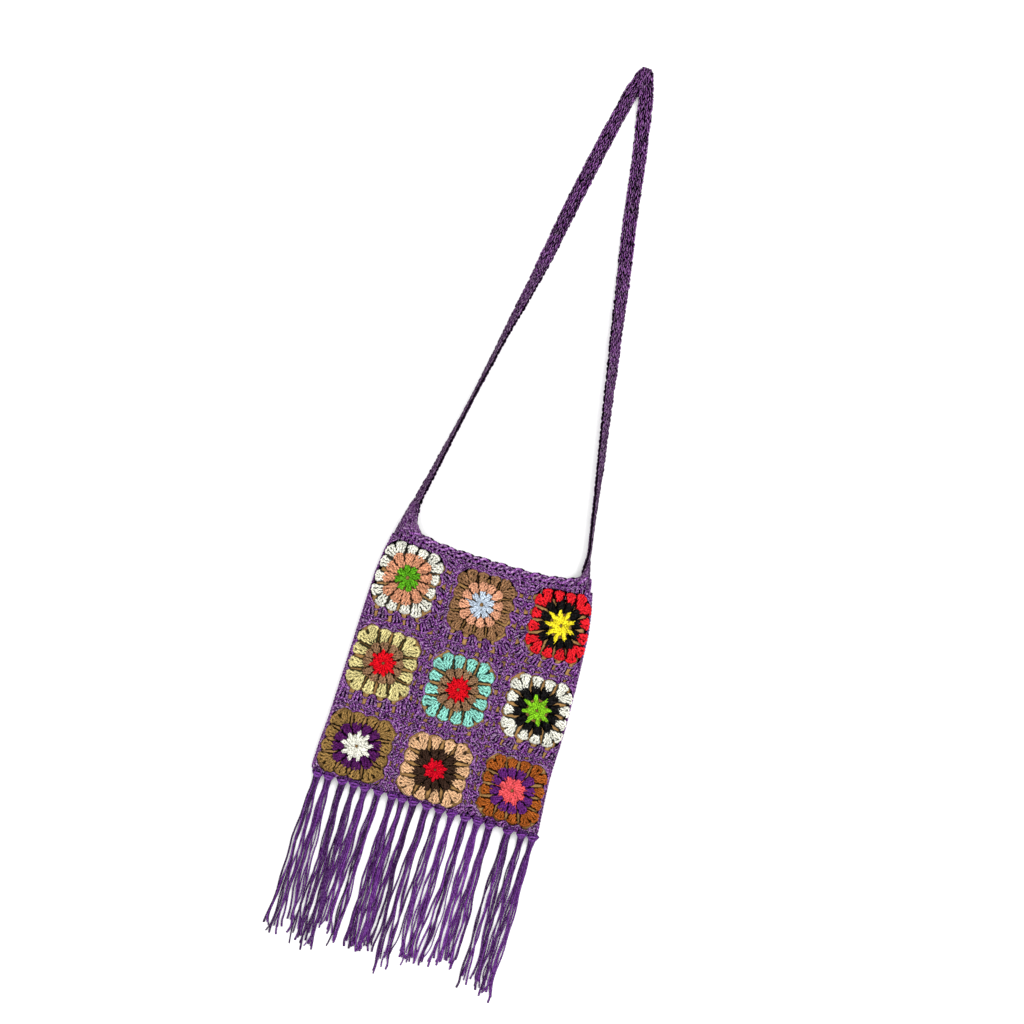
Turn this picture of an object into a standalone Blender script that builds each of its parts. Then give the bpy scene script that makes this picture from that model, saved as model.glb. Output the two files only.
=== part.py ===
"""A crochet tote bag, lying flat on its back with the strap drawn out above it and the fringe below.

The front is a purple net that holds nine granny squares, each worked in three rounds of colour.
Behind it are a cloth lining, a plain back, a cord along the seams and a scalloped edging round the
mouth. A broad strap rises from both corners of the mouth and folds over at its top, and eighteen
tassels are knotted over the bottom seam.

Metres. X is the bag's right, Y runs from the fringe towards the strap, Z is up off the surface. The
origin is under the middle square, on the back's underside.
"""

import math
from collections import namedtuple

import bmesh
import bpy
import numpy as np
from mathutils import Vector
from mathutils.geometry import delaunay_2d_cdt

# Squares of the front
SQUARE_WIDTH = 0.0891
SQUARE_HEIGHT = 0.0957
COLUMNS = 3
ROWS = 3
SIDE_WRAP = 0.0061
BOTTOM_WRAP = 0.0125
MOUTH_TRIM = 0.0060
GROUND_WIDTH = 0.0018

# Walls and heights of the body
FRONT_WALL = 0.0030
BACK_WALL = 0.0030
BACK_LAP = 0.0008
LINING_WALL = 0.0010
LINING_MARGIN = 0.0040
LINING_DROP = 0.0110
CORD_RADIUS = 0.0022
EDGE_ROLL = 0.0049
CROWN = 0.0020
MOTIF_PROUD = 0.0005
CLEARANCE = 0.0004

# Mouth
MOUTH_RISE = 0.0077
RIM_WALL = 0.0030
RIM_HEIGHT = 0.0084
RIM_CORNER_RISE = 0.0070
RIM_LEAN = 0.965
SCALLOPS = 10
SCALLOP_DEPTH = 0.0018

# Strap
STRAP_WIDTH = 0.0165
STRAP_THICKNESS = 0.0036
STRAP_REACH = 0.5560
FOLD_GAP = 0.0006

# Fringe
FRINGE_LENGTH = 0.1760
TASSEL_WIDTH = 0.0132
TASSEL_HEIGHT = 0.0050
KNOT_WIDTH = 0.0118
KNOT_THICKNESS = 0.0034

# Gaps of the net
GAP_LENGTH = 0.0052
GAP_WIDTH = 0.0030
GAPS_A_SIDE = 3
GAP_SPREAD = 1.5
GAP_SHARES = (0.30, 0.70)
STAR_GAP = 0.0030
SPARE_MARGIN = 0.0009
SPARE_PITCH = SQUARE_WIDTH / 7
NET_GRID = 7

# Sizes worked out from those above
BOTTOM_Y = -(ROWS * SQUARE_HEIGHT / 2 - BOTTOM_WRAP) + FRONT_WALL / 2
MOUTH_Y = ROWS * SQUARE_HEIGHT / 2 - MOUTH_TRIM
HALF_WIDTH = COLUMNS * SQUARE_WIDTH / 2 - SIDE_WRAP - EDGE_ROLL * (math.pi / 2 - 1)
EDGE_ARC = EDGE_ROLL * math.pi / 2
FABRIC_HALF = HALF_WIDTH - EDGE_ROLL + EDGE_ARC
FABRIC_BOTTOM = BOTTOM_Y + EDGE_ROLL - EDGE_ARC
CORD_Z = BACK_WALL + CLEARANCE + CORD_RADIUS
EDGE_Z = CORD_Z + CORD_RADIUS + CLEARANCE
FRONT_Z = EDGE_Z + EDGE_ROLL
LAYER_STEP = STRAP_THICKNESS + FOLD_GAP

# The panel's side edges. Height is a share from the bottom seam to the mouth, left and right are
# shares of the half width.
EdgeRow = namedtuple("EdgeRow", "height left right")
EDGE_ROWS = (
    EdgeRow(0.000, 1.026, 1.041),
    EdgeRow(0.115, 1.022, 1.019),
    EdgeRow(0.239, 1.006, 0.999),
    EdgeRow(0.461, 0.998, 1.004),
    EdgeRow(0.658, 0.992, 0.986),
    EdgeRow(0.856, 0.984, 0.960),
    EdgeRow(0.955, 0.962, 0.925),
    EdgeRow(1.000, 0.944, 0.899),
    EdgeRow(1.062, 0.922, 0.869),
    EdgeRow(1.100, 0.905, 0.845),
)

# The nine squares. Shifts and reaches are shares of the square's width, tall is height over width,
# and the colours run from the centre to the outer round.
Square = namedtuple("Square", "row column shift_x shift_y centre inner outer tall colours")
SQUARES = (
    Square(1, 1, -0.002, 0.064, 0.160, 0.300, 0.395, 1.10, ("grass_green", "salmon", "ivory")),
    Square(1, 2, -0.012, 0.023, 0.167, 0.270, 0.389, 1.02, ("pale_blue", "peach", "tan_brown")),
    Square(1, 3, 0.042, 0.041, 0.180, 0.290, 0.407, 1.02, ("yellow", "black", "scarlet")),
    Square(2, 1, 0.030, 0.057, 0.160, 0.250, 0.407, 1.02, ("red", "taupe", "straw")),
    Square(2, 2, 0.012, 0.011, 0.154, 0.250, 0.395, 1.05, ("red", "taupe", "aqua")),
    Square(2, 3, 0.017, 0.046, 0.167, 0.290, 0.407, 1.00, ("lime", "black", "ivory")),
    Square(3, 1, 0.030, 0.057, 0.175, 0.290, 0.410, 1.00, ("ivory", "aubergine", "olive_tan")),
    Square(3, 2, 0.025, 0.057, 0.138, 0.264, 0.410, 1.00, ("crimson", "dark_brown", "light_peach")),
    Square(3, 3, -0.002, 0.085, 0.167, 0.272, 0.389, 1.02, ("coral", "plum", "rust")),
)

# The strap's stations from a corner of the mouth to the top. Up is a share of the strap's reach,
# across a share of the body's half width, face the band's turn on edge in degrees, breadth a share
# of the strap's width and lift a share of the step between two layers.
StrapRow = namedtuple("StrapRow", "up across face breadth lift")
LEFT_LEG = (
    StrapRow(0.000, -0.832, 18, 1.26, 1.22),
    StrapRow(0.025, -0.824, 46, 1.10, 0.62),
    StrapRow(0.052, -0.810, 62, 1.00, 0.10),
    StrapRow(0.108, -0.757, 69, 1.00, 0.00),
    StrapRow(0.167, -0.706, 76, 1.00, 0.00),
    StrapRow(0.226, -0.653, 81, 1.00, 0.00),
    StrapRow(0.285, -0.603, 83, 1.00, 0.00),
    StrapRow(0.344, -0.552, 76, 1.00, 0.00),
    StrapRow(0.404, -0.503, 70, 1.00, 0.00),
    StrapRow(0.463, -0.450, 57, 1.00, 0.00),
    StrapRow(0.522, -0.396, 46, 1.00, 0.00),
    StrapRow(0.582, -0.348, 28, 1.00, 0.00),
    StrapRow(0.700, -0.263, 6, 1.00, 0.00),
    StrapRow(0.820, -0.165, 0, 1.00, 0.00),
    StrapRow(0.908, -0.083, 0, 0.97, 0.00),
    StrapRow(0.938, -0.055, 0, 1.00, 0.00),
    StrapRow(0.968, -0.014, 0, 0.98, 0.00),
)
RIGHT_LEG = (
    StrapRow(0.000, 0.780, 67, 1.00, 0.00),
    StrapRow(0.028, 0.774, 82, 1.00, 0.00),
    StrapRow(0.052, 0.764, 87, 1.00, 0.00),
    StrapRow(0.108, 0.720, 82, 1.00, 0.00),
    StrapRow(0.167, 0.677, 76, 1.00, 0.00),
    StrapRow(0.226, 0.633, 66, 1.00, 0.00),
    StrapRow(0.285, 0.586, 61, 1.00, 0.00),
    StrapRow(0.344, 0.540, 54, 1.00, 0.00),
    StrapRow(0.404, 0.497, 47, 1.00, 0.00),
    StrapRow(0.463, 0.448, 42, 1.00, 0.00),
    StrapRow(0.522, 0.405, 33, 1.00, 0.00),
    StrapRow(0.582, 0.359, 20, 1.00, 0.00),
    StrapRow(0.700, 0.265, 6, 1.00, 0.00),
    StrapRow(0.820, 0.185, 0, 1.00, 0.05),
    StrapRow(0.908, 0.112, 0, 1.04, 0.75),
    StrapRow(0.938, 0.089, 0, 1.00, 1.00),
    StrapRow(0.968, 0.055, 0, 0.98, 1.00),
)
# The fold at the strap's top. Turn is the angle from the lower layer round to the upper one.
FoldRow = namedtuple("FoldRow", "turn across breadth")
FOLD = (
    FoldRow(-90, 0.012, 0.86),
    FoldRow(-30, 0.020, 0.64),
    FoldRow(30, 0.023, 0.64),
    FoldRow(90, 0.030, 0.86),
)
FOLD_AT = 0.9985

# The tassels from left to right. Knot, middle and tip are shares of the body's half width, reach is
# a share of the fringe's length and breadth a share of a tassel's width.
Tassel = namedtuple("Tassel", "knot middle tip reach breadth")
TASSELS = (
    Tassel(-0.965, -0.965, -0.975, 1.006, 0.90),
    Tassel(-0.862, -0.850, -0.815, 0.963, 0.84),
    Tassel(-0.735, -0.722, -0.726, 1.050, 0.74),
    Tassel(-0.628, -0.622, -0.628, 1.050, 0.74),
    Tassel(-0.525, -0.530, -0.535, 0.944, 0.68),
    Tassel(-0.405, -0.430, -0.440, 0.963, 0.80),
    Tassel(-0.275, -0.272, -0.262, 1.006, 0.66),
    Tassel(-0.183, -0.188, -0.180, 0.994, 0.62),
    Tassel(-0.080, -0.098, -0.090, 0.969, 0.66),
    Tassel(0.042, 0.032, 0.055, 1.044, 0.80),
    Tassel(0.160, 0.145, 0.163, 0.981, 0.76),
    Tassel(0.273, 0.262, 0.272, 0.969, 0.78),
    Tassel(0.398, 0.404, 0.388, 0.956, 0.82),
    Tassel(0.510, 0.510, 0.500, 0.956, 0.74),
    Tassel(0.622, 0.624, 0.628, 0.906, 0.80),
    Tassel(0.793, 0.808, 0.822, 0.994, 0.96),
    Tassel(0.916, 0.915, 0.915, 1.000, 0.74),
    Tassel(1.016, 1.010, 1.014, 1.019, 0.74),
)

YARNS = {
    "purple": "#63357D",
    "strap_purple": "#5B3068",
    "fringe_purple": "#5C2F82",
    "grass_green": "#5AA51E",
    "salmon": "#D98F6A",
    "ivory": "#F4F2E4",
    "pale_blue": "#C5D5E6",
    "peach": "#E8A37A",
    "tan_brown": "#9A7250",
    "yellow": "#F7E12A",
    "black": "#141213",
    "scarlet": "#F01C24",
    "red": "#DA0A1B",
    "taupe": "#957052",
    "straw": "#E3D38A",
    "aqua": "#8EE0CC",
    "lime": "#7EC21C",
    "aubergine": "#4A1550",
    "olive_tan": "#98753F",
    "crimson": "#D3041F",
    "dark_brown": "#33221A",
    "light_peach": "#EAB585",
    "coral": "#F0555B",
    "plum": "#5C2170",
    "rust": "#A5551C",
    "lining_cloth": "#A88050",
}
YARN_ROUGHNESS = 0.9


def clear_scene():
    """Remove everything that the new file starts with."""
    for thing in list(bpy.data.objects):
        bpy.data.objects.remove(thing, do_unlink=True)


def linear(channel):
    """One sRGB channel from 0 to 1 as a linear value."""
    return channel / 12.92 if channel <= 0.04045 else ((channel + 0.055) / 1.055) ** 2.4


def yarn_material(name):
    """The matt yarn or cloth of that name, made once."""
    if name in bpy.data.materials:
        return bpy.data.materials[name]
    made = bpy.data.materials.new(name)
    made.use_nodes = True
    shader = made.node_tree.nodes["Principled BSDF"]
    digits = YARNS[name].lstrip("#")
    colour = [linear(int(digits[i : i + 2], 16) / 255) for i in (0, 2, 4)]
    shader.inputs["Base Color"].default_value = (*colour, 1.0)
    shader.inputs["Roughness"].default_value = YARN_ROUGHNESS
    shader.inputs["Metallic"].default_value = 0.0
    return made


def add_solid(name, points, faces, yarn):
    """Make an object of a closed mesh, with its faces turned outwards."""
    mesh = bpy.data.meshes.new(name)
    mesh.from_pydata([tuple(p) for p in points], [], faces)
    body = bmesh.new()
    body.from_mesh(mesh)
    bmesh.ops.recalc_face_normals(body, faces=body.faces)
    body.to_mesh(mesh)
    body.free()
    mesh.materials.append(yarn_material(yarn))
    piece = bpy.data.objects.new(name, mesh)
    bpy.context.collection.objects.link(piece)
    return piece


def loft(name, sections, yarn, closed=False):
    """Join equal sections in order. An open loft gets a cap at each end."""
    size = len(sections[0])
    points = [p for section in sections for p in section]
    faces = []
    steps = len(sections) if closed else len(sections) - 1
    for i in range(steps):
        low = i * size
        high = (i + 1) % len(sections) * size
        for j in range(size):
            k = (j + 1) % size
            faces.append((low + j, low + k, high + k, high + j))
    if not closed:
        faces.append(tuple(range(size))[::-1])
        last = (len(sections) - 1) * size
        faces.append(tuple(range(last, last + size)))
    return add_solid(name, points, faces, yarn)


def side_edge(y, side):
    """How far the panel's middle surface reaches at height y, on the left (-1) or right (1)."""
    heights = [BOTTOM_Y + row.height * (MOUTH_Y - BOTTOM_Y) for row in EDGE_ROWS]
    shares = [row.left if side < 0 else row.right for row in EDGE_ROWS]
    return HALF_WIDTH * float(np.interp(y, heights, shares))


def crown(x, y):
    """How much the slack front rises at a place, highest in the middle and none at its edges."""
    across = x / side_edge(y, 1 if x >= 0 else -1)
    along = (2 * y - MOUTH_Y - BOTTOM_Y) / (MOUTH_Y - BOTTOM_Y)
    return CROWN * max(0.0, 1 - across**2) * max(0.0, 1 - along**2)


def mouth_line(share):
    """The front's upper edge at a share of its half width: it sags between the corners."""
    return MOUTH_Y + MOUTH_RISE * min(1.0, abs(share)) ** 3


def panel_point(s, r, height):
    """The place of a point of the front's fabric, rolled over at the sides and at the bottom.

    s and r are measured on the flat fabric, and height is counted from its middle surface.
    """
    side = 1 if s >= 0 else -1
    share = abs(s) / FABRIC_HALF
    y = r + (mouth_line(share) - MOUTH_Y) * max(0.0, r / MOUTH_Y) ** 2
    reach = side_edge(y, side)
    t = share * (reach - EDGE_ROLL + EDGE_ARC)
    over_x = max(0.0, t - (reach - EDGE_ROLL))
    over_y = min(0.0, y - (BOTTOM_Y + EDGE_ROLL))
    over = math.hypot(over_x, over_y)
    if over == 0.0:
        return Vector((side * t, y, FRONT_Z + crown(side * t, y) + height))
    turn = min(over / EDGE_ROLL, math.pi / 2)
    out = (EDGE_ROLL + height) * math.sin(turn)
    x = side * (t - over_x + out * over_x / over)
    y = y - over_y + out * over_y / over
    z = EDGE_Z + (EDGE_ROLL + height) * math.cos(turn)
    return Vector((x, y, z + crown(x, y)))


def inside(point, outline):
    """Whether a point of the plane lies inside a closed outline."""
    x, y = point
    hit = False
    for (x0, y0), (x1, y1) in zip(outline, outline[1:] + outline[:1]):
        if (y0 > y) != (y1 > y) and x < x0 + (y - y0) * (x1 - x0) / (y1 - y0):
            hit = not hit
    return hit


def clear_of(point, loops, margin):
    """Whether a point of the plane keeps its distance from every side of the loops."""
    for loop in loops:
        for start, end in zip(loop, loop[1:] + loop[:1]):
            run = (end[0] - start[0], end[1] - start[1])
            off = (point[0] - start[0], point[1] - start[1])
            length = run[0] ** 2 + run[1] ** 2
            share = min(1.0, max(0.0, (off[0] * run[0] + off[1] * run[1]) / length))
            if math.hypot(off[0] - share * run[0], off[1] - share * run[1]) < margin:
                return False
    return True


def fabric_spares(outline, holes, grid=0):
    """Points inside a piece that let it follow the rolled edges and, on a grid, the crown."""
    lines_s = [side * (FABRIC_HALF - share * EDGE_ARC) for side in (-1, 1) for share in (1.0, 0.5)]
    lines_r = [FABRIC_BOTTOM + share * EDGE_ARC for share in (0.5, 1.0)]
    places = []
    for k in range(int((MOUTH_Y - FABRIC_BOTTOM) / SPARE_PITCH)):
        places += [(s, lines_r[1] + k * SPARE_PITCH) for s in lines_s]
    for k in range(int(2 * FABRIC_HALF / SPARE_PITCH)):
        places += [(-lines_s[-2] + k * SPARE_PITCH, r) for r in lines_r]
    for i in range(1, grid):
        for j in range(1, grid):
            s = (2 * i / grid - 1) * lines_s[2]
            places.append((s, lines_r[1] + j / grid * (MOUTH_Y - lines_r[1])))
    spare = []
    for place in places:
        if inside(place, outline) and not any(inside(place, hole) for hole in holes):
            if clear_of(place, [outline] + holes, SPARE_MARGIN):
                spare.append(place)
    return spare


def fabric_solid(name, outline, holes, low, high, yarn, grid=0):
    """A piece of the front with the given outline and holes, between two heights of the fabric."""
    spare = fabric_spares(outline, holes, grid)
    loops = [outline] + holes
    flat = []
    edges = []
    for loop in loops:
        first = len(flat)
        flat += loop
        edges += [(first + i, first + (i + 1) % len(loop)) for i in range(len(loop))]
    flat += spare
    flat, _, triangles, _, _, _ = delaunay_2d_cdt([Vector(p) for p in flat], edges, [], 0, 1e-7)
    kept = []
    for triangle in triangles:
        middle = sum((flat[i] for i in triangle), Vector((0.0, 0.0))) / len(triangle)
        if inside(middle, outline) and not any(inside(middle, hole) for hole in holes):
            kept.append(tuple(triangle))
    sides = {}
    for a, b, c in kept:
        for edge in ((a, b), (b, c), (c, a)):
            sides[edge] = True
    used = sorted({i for triangle in kept for i in triangle})
    place = {old: new for new, old in enumerate(used)}
    count = len(used)
    points = [panel_point(*flat[i], high) for i in used] + [panel_point(*flat[i], low) for i in used]
    faces = [tuple(place[i] for i in triangle) for triangle in kept]
    faces += [tuple(place[i] + count for i in reversed(triangle)) for triangle in kept]
    for a, b in sides:
        if (b, a) not in sides:
            faces.append((place[b], place[a], place[a] + count, place[b] + count))
    return add_solid(name, points, faces, yarn)


def square_centre(square):
    """Where a square's centre lies on the fabric."""
    middle_column = (COLUMNS + 1) / 2
    middle_row = (ROWS + 1) / 2
    s = (square.column - middle_column) * SQUARE_WIDTH + square.shift_x * SQUARE_WIDTH
    r = (middle_row - square.row) * SQUARE_HEIGHT + square.shift_y * SQUARE_WIDTH
    return s, r


def round_outline(square, reach, squareness, petals, shoulders, notch):
    """The outline of one round: petals round a circle or a rounded square, with notches between.

    reach is the distance to the middle of a side. A notch of None leaves the petals' joints out, as
    for the hole that a round lies in. An outer half that would pass the panel's edge is
    pressed together, because there the real square wraps round the side.
    """
    centre_s, centre_r = square_centre(square)
    limit_s = FABRIC_HALF - GROUND_WIDTH - abs(centre_s)
    limit_down = centre_r - FABRIC_BOTTOM - GROUND_WIDTH
    limit_up = MOUTH_Y - GROUND_WIDTH - centre_r
    steps = 1 + len(shoulders)
    full = square.outer * SQUARE_WIDTH
    points = []
    for k in range(petals):
        for step in range(0 if notch is not None else 1, steps):
            turn = (k + (shoulders[step - 1] if step else 0.0)) / petals * math.tau
            cosine = math.cos(turn)
            sine = math.sin(turn)
            size = (abs(cosine) ** squareness + abs(sine) ** squareness) ** (-1 / squareness)
            size *= reach * (1 if step else 1 - notch)
            s = size * cosine
            r = size * sine * square.tall
            if s * centre_s > 0:
                s *= min(1.0, limit_s / full)
            if r < 0:
                r *= min(1.0, limit_down / (full * square.tall))
            else:
                r *= min(1.0, limit_up / (full * square.tall))
            points.append((centre_s + s, centre_r + r))
    return points


CENTRE_ARMS = 8
INNER_PETALS = 12
OUTER_PETALS = 16
ARM_NOTCH = 0.26
INNER_NOTCH = 0.13
OUTER_NOTCH = 0.085
INNER_SQUARENESS = 2.6
OUTER_SQUARENESS = 5.0
SHOULDERS = (0.28, 0.72)


def add_square(square):
    """The three coloured rounds of one square, each a piece of its own."""
    label = f"square_{square.row}{square.column}"
    low = -FRONT_WALL / 2
    high = FRONT_WALL / 2 + MOTIF_PROUD
    centre = square.centre * SQUARE_WIDTH
    inner = square.inner * SQUARE_WIDTH
    outer = square.outer * SQUARE_WIDTH
    star = round_outline(square, centre - CLEARANCE, 2.0, CENTRE_ARMS, (0.5,), ARM_NOTCH)
    fabric_solid(f"{label}_centre", star, [], low, high, square.colours[0])
    rim = round_outline(square, inner - CLEARANCE, INNER_SQUARENESS, INNER_PETALS, SHOULDERS, INNER_NOTCH)
    hole = round_outline(square, centre + CLEARANCE, 2.0, CENTRE_ARMS, (0.5,), 0.0)
    fabric_solid(f"{label}_inner_round", rim, [hole], low, high, square.colours[1])
    rim = round_outline(square, outer - CLEARANCE, OUTER_SQUARENESS, OUTER_PETALS, SHOULDERS, OUTER_NOTCH)
    hole = round_outline(square, inner + CLEARANCE, INNER_SQUARENESS, INNER_PETALS, SHOULDERS, None)
    fabric_solid(f"{label}_outer_round", rim, [hole], low, high, square.colours[2])


# Where the outlines have their points: shares of the height up the sides, from the mouth down, and
# shares of the half width along the bottom.
NET_SIDE_SHARES = (0.86, 0.70, 0.52, 0.34, 0.16)
NET_BOTTOM_SHARES = (-0.72, -0.36, 0.0, 0.36, 0.72)
EDGE_SIDE_SHARES = (1.0, 0.93, 0.84, 0.66, 0.46, 0.24, 0.11)
EDGE_BOTTOM_SHARES = (-0.6, -0.2, 0.2, 0.6)
MOUTH_STEPS = 12
CORNER_STEPS = 4


def net_outline():
    """The outline of the front's fabric, round at its lower corners."""
    points = []
    for i in range(MOUTH_STEPS + 1):
        share = 1 - 2 * i / MOUTH_STEPS
        points.append((share * FABRIC_HALF, MOUTH_Y))
    left_side = []
    right_side = []
    corner_y = BOTTOM_Y + EDGE_ROLL
    for share in NET_SIDE_SHARES:
        y = corner_y + share * (MOUTH_Y - corner_y)
        left_side.append((-FABRIC_HALF, y))
        right_side.append((FABRIC_HALF, y))
    for i in range(CORNER_STEPS + 1):
        turn = i / CORNER_STEPS * math.pi / 2
        y = corner_y - EDGE_ARC * math.sin(turn)
        for side, line in ((-1, left_side), (1, right_side)):
            reach = side_edge(y, side) - EDGE_ROLL
            t = reach + EDGE_ARC * math.cos(turn)
            line.append((side * t / (reach + EDGE_ARC) * FABRIC_HALF, y))
    bottom = [(share * HALF_WIDTH, FABRIC_BOTTOM) for share in NET_BOTTOM_SHARES]
    return points + left_side + bottom + right_side[::-1]


def gap_outline(s, r, length, width):
    """A small four-cornered gap, long across or along."""
    return [(s - length / 2, r), (s, r - width / 2), (s + length / 2, r), (s, r + width / 2)]


def net_gaps():
    """The small gaps beside the joins between squares, and one where four corners meet."""
    gaps = []
    place = {(q.row, q.column): q for q in SQUARES}
    for (row, column), square in place.items():
        s, r = square_centre(square)
        reach_s = square.outer * SQUARE_WIDTH
        reach_r = reach_s * square.tall
        right = place.get((row, column + 1))
        below = place.get((row + 1, column))
        for k in range(GAPS_A_SIDE):
            along = (k - (GAPS_A_SIDE - 1) / 2) / GAPS_A_SIDE * GAP_SPREAD
            if right:
                next_s, next_r = square_centre(right)
                start = s + reach_s
                end = next_s - right.outer * SQUARE_WIDTH
                for share, y in zip(GAP_SHARES, (r + along * reach_r, next_r + along * reach_r)):
                    x = start + share * (end - start)
                    gaps.append(gap_outline(x, y, GAP_WIDTH, GAP_LENGTH))
            if below:
                next_s, next_r = square_centre(below)
                start = r - reach_r
                end = next_r + below.outer * below.tall * SQUARE_WIDTH
                for share, x in zip(GAP_SHARES, (s + along * reach_s, next_s + along * reach_s)):
                    y = start + share * (end - start)
                    gaps.append(gap_outline(x, y, GAP_LENGTH, GAP_WIDTH))
        if right and below:
            across = place[(row + 1, column + 1)]
            corner = [square_centre(q) for q in (square, right, below, across)]
            x = sum(p[0] for p in corner) / 4
            y = sum(p[1] for p in corner) / 4
            gaps.append(gap_outline(x, y, STAR_GAP, STAR_GAP))
    return gaps


def add_front_net():
    """The purple ground of the front, cut through for the squares and at its small gaps."""
    outline = net_outline()
    seats = []
    for square in SQUARES:
        reach = square.outer * SQUARE_WIDTH + CLEARANCE
        seats.append(round_outline(square, reach, OUTER_SQUARENESS, OUTER_PETALS, SHOULDERS, None))
    holes = seats + net_gaps()
    fabric_solid("front_net", outline, holes, -FRONT_WALL / 2, FRONT_WALL / 2, "purple", NET_GRID)


def edge_line(offset, top):
    """The bag's outline seen from above, down the left, along the bottom and up the right.

    offset moves it outwards from the panel's middle surface, and top is the height it starts from.
    """
    corner_y = BOTTOM_Y + EDGE_ROLL
    lines = {}
    for side in (-1, 1):
        line = []
        for share in EDGE_SIDE_SHARES:
            y = corner_y + share * (top - corner_y)
            line.append((side * (side_edge(y, side) + offset), y))
        centre = side_edge(corner_y, side) - EDGE_ROLL
        reach = EDGE_ROLL + offset
        for i in range(CORNER_STEPS + 1):
            turn = i / CORNER_STEPS * math.pi / 2
            line.append((side * (centre + reach * math.cos(turn)), corner_y - reach * math.sin(turn)))
        lines[side] = line
    bottom = [(share * HALF_WIDTH, BOTTOM_Y - offset) for share in EDGE_BOTTOM_SHARES]
    return lines[-1] + bottom + lines[1][::-1]


def add_back_panel():
    """The plain back, one flat wall with rounded edges."""
    rows = ((-BACK_WALL * 0.25, 0.0), (0.0, BACK_WALL * 0.4), (0.0, BACK_WALL))
    sections = []
    for inset, z in rows:
        line = edge_line(BACK_LAP + inset, mouth_line(1.0) - 2 * CLEARANCE)
        first, last = line[0], line[-1]
        mouth = []
        for i in range(1, MOUTH_STEPS):
            x = last[0] + i / MOUTH_STEPS * (first[0] - last[0])
            reach = first[0] if x < 0 else last[0]
            mouth.append((x, mouth_line(x / reach) + inset - 2 * CLEARANCE))
        sections.append([Vector((x, y, z)) for x, y in line + mouth])
    loft("back_panel", sections, "purple")


def add_seam_edging():
    """The cord that closes the front to the back along the sides and the bottom."""
    line = edge_line(0.0, mouth_line(1.0) - CLEARANCE)
    sections = []
    for i, (x, y) in enumerate(line):
        before = Vector(line[max(i - 1, 0)])
        after = Vector(line[min(i + 1, len(line) - 1)])
        along = (after - before).normalized()
        out = Vector((along.y, -along.x, 0.0))
        if i in (0, len(line) - 1):
            out = Vector((-1.0 if i == 0 else 1.0, 0.0, 0.0))
        ring = []
        for k in range(6):
            turn = (k + 0.5) / 6 * math.tau
            offset = out * (CORD_RADIUS * math.cos(turn))
            ring.append(Vector((x, y, CORD_Z + CORD_RADIUS * math.sin(turn))) + offset)
        sections.append(ring)
    loft("seam_edging", sections, "purple")


def lining_ring(y, inset, squash):
    """One ring of the lining, inset from its outer face and squashed towards its middle height."""
    low = BACK_WALL + CLEARANCE + inset
    high = FRONT_Z - FRONT_WALL / 2 - CLEARANCE - inset
    middle = (low + high) / 2
    radius = (high - low) / 2
    outer_radius = radius + inset
    left = side_edge(y, -1) - LINING_MARGIN - outer_radius
    right = side_edge(y, 1) - LINING_MARGIN - outer_radius
    across = [-left + i / 4 * (left + right) for i in range(5)]
    ring = [Vector((x, y, low)) for x in across]
    for degrees in (-40, 40):
        turn = math.radians(degrees)
        ring.append(Vector((right + radius * math.cos(turn), y, middle + radius * math.sin(turn))))
    ring += [Vector((x, y, high + crown(x, y))) for x in across[::-1]]
    for degrees in (140, 220):
        turn = math.radians(degrees)
        ring.append(Vector((-left + radius * math.cos(turn), y, middle + radius * math.sin(turn))))
    for point in ring:
        point.z = middle + (point.z - middle) * squash
    return ring


def add_lining():
    """The cloth pouch inside, closed at the bottom and open at the mouth."""
    bottom = BOTTOM_Y + LINING_MARGIN
    top = MOUTH_Y - LINING_DROP
    stations = [bottom + share * (top - bottom) for share in (0.03, 0.26, 0.5, 0.75, 1.0)]
    rings = [lining_ring(bottom, 0.0, 0.45)]
    rings += [lining_ring(y, 0.0, 1.0) for y in stations]
    rings += [lining_ring(y, LINING_WALL, 1.0) for y in stations[::-1]]
    rings.append(lining_ring(bottom + LINING_WALL, LINING_WALL, 0.35))
    loft("lining", rings, "lining_cloth")


def rim_top(share, phase):
    """The top of the mouth's edging at a share of its half width and a phase of its scallops."""
    share = min(1.0, abs(share))
    height = RIM_HEIGHT + RIM_CORNER_RISE * share**4
    scallop = SCALLOP_DEPTH * (1 - abs(math.sin(math.pi * phase))) * (1 - share**6)
    return mouth_line(share) + CLEARANCE + height - scallop


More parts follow.
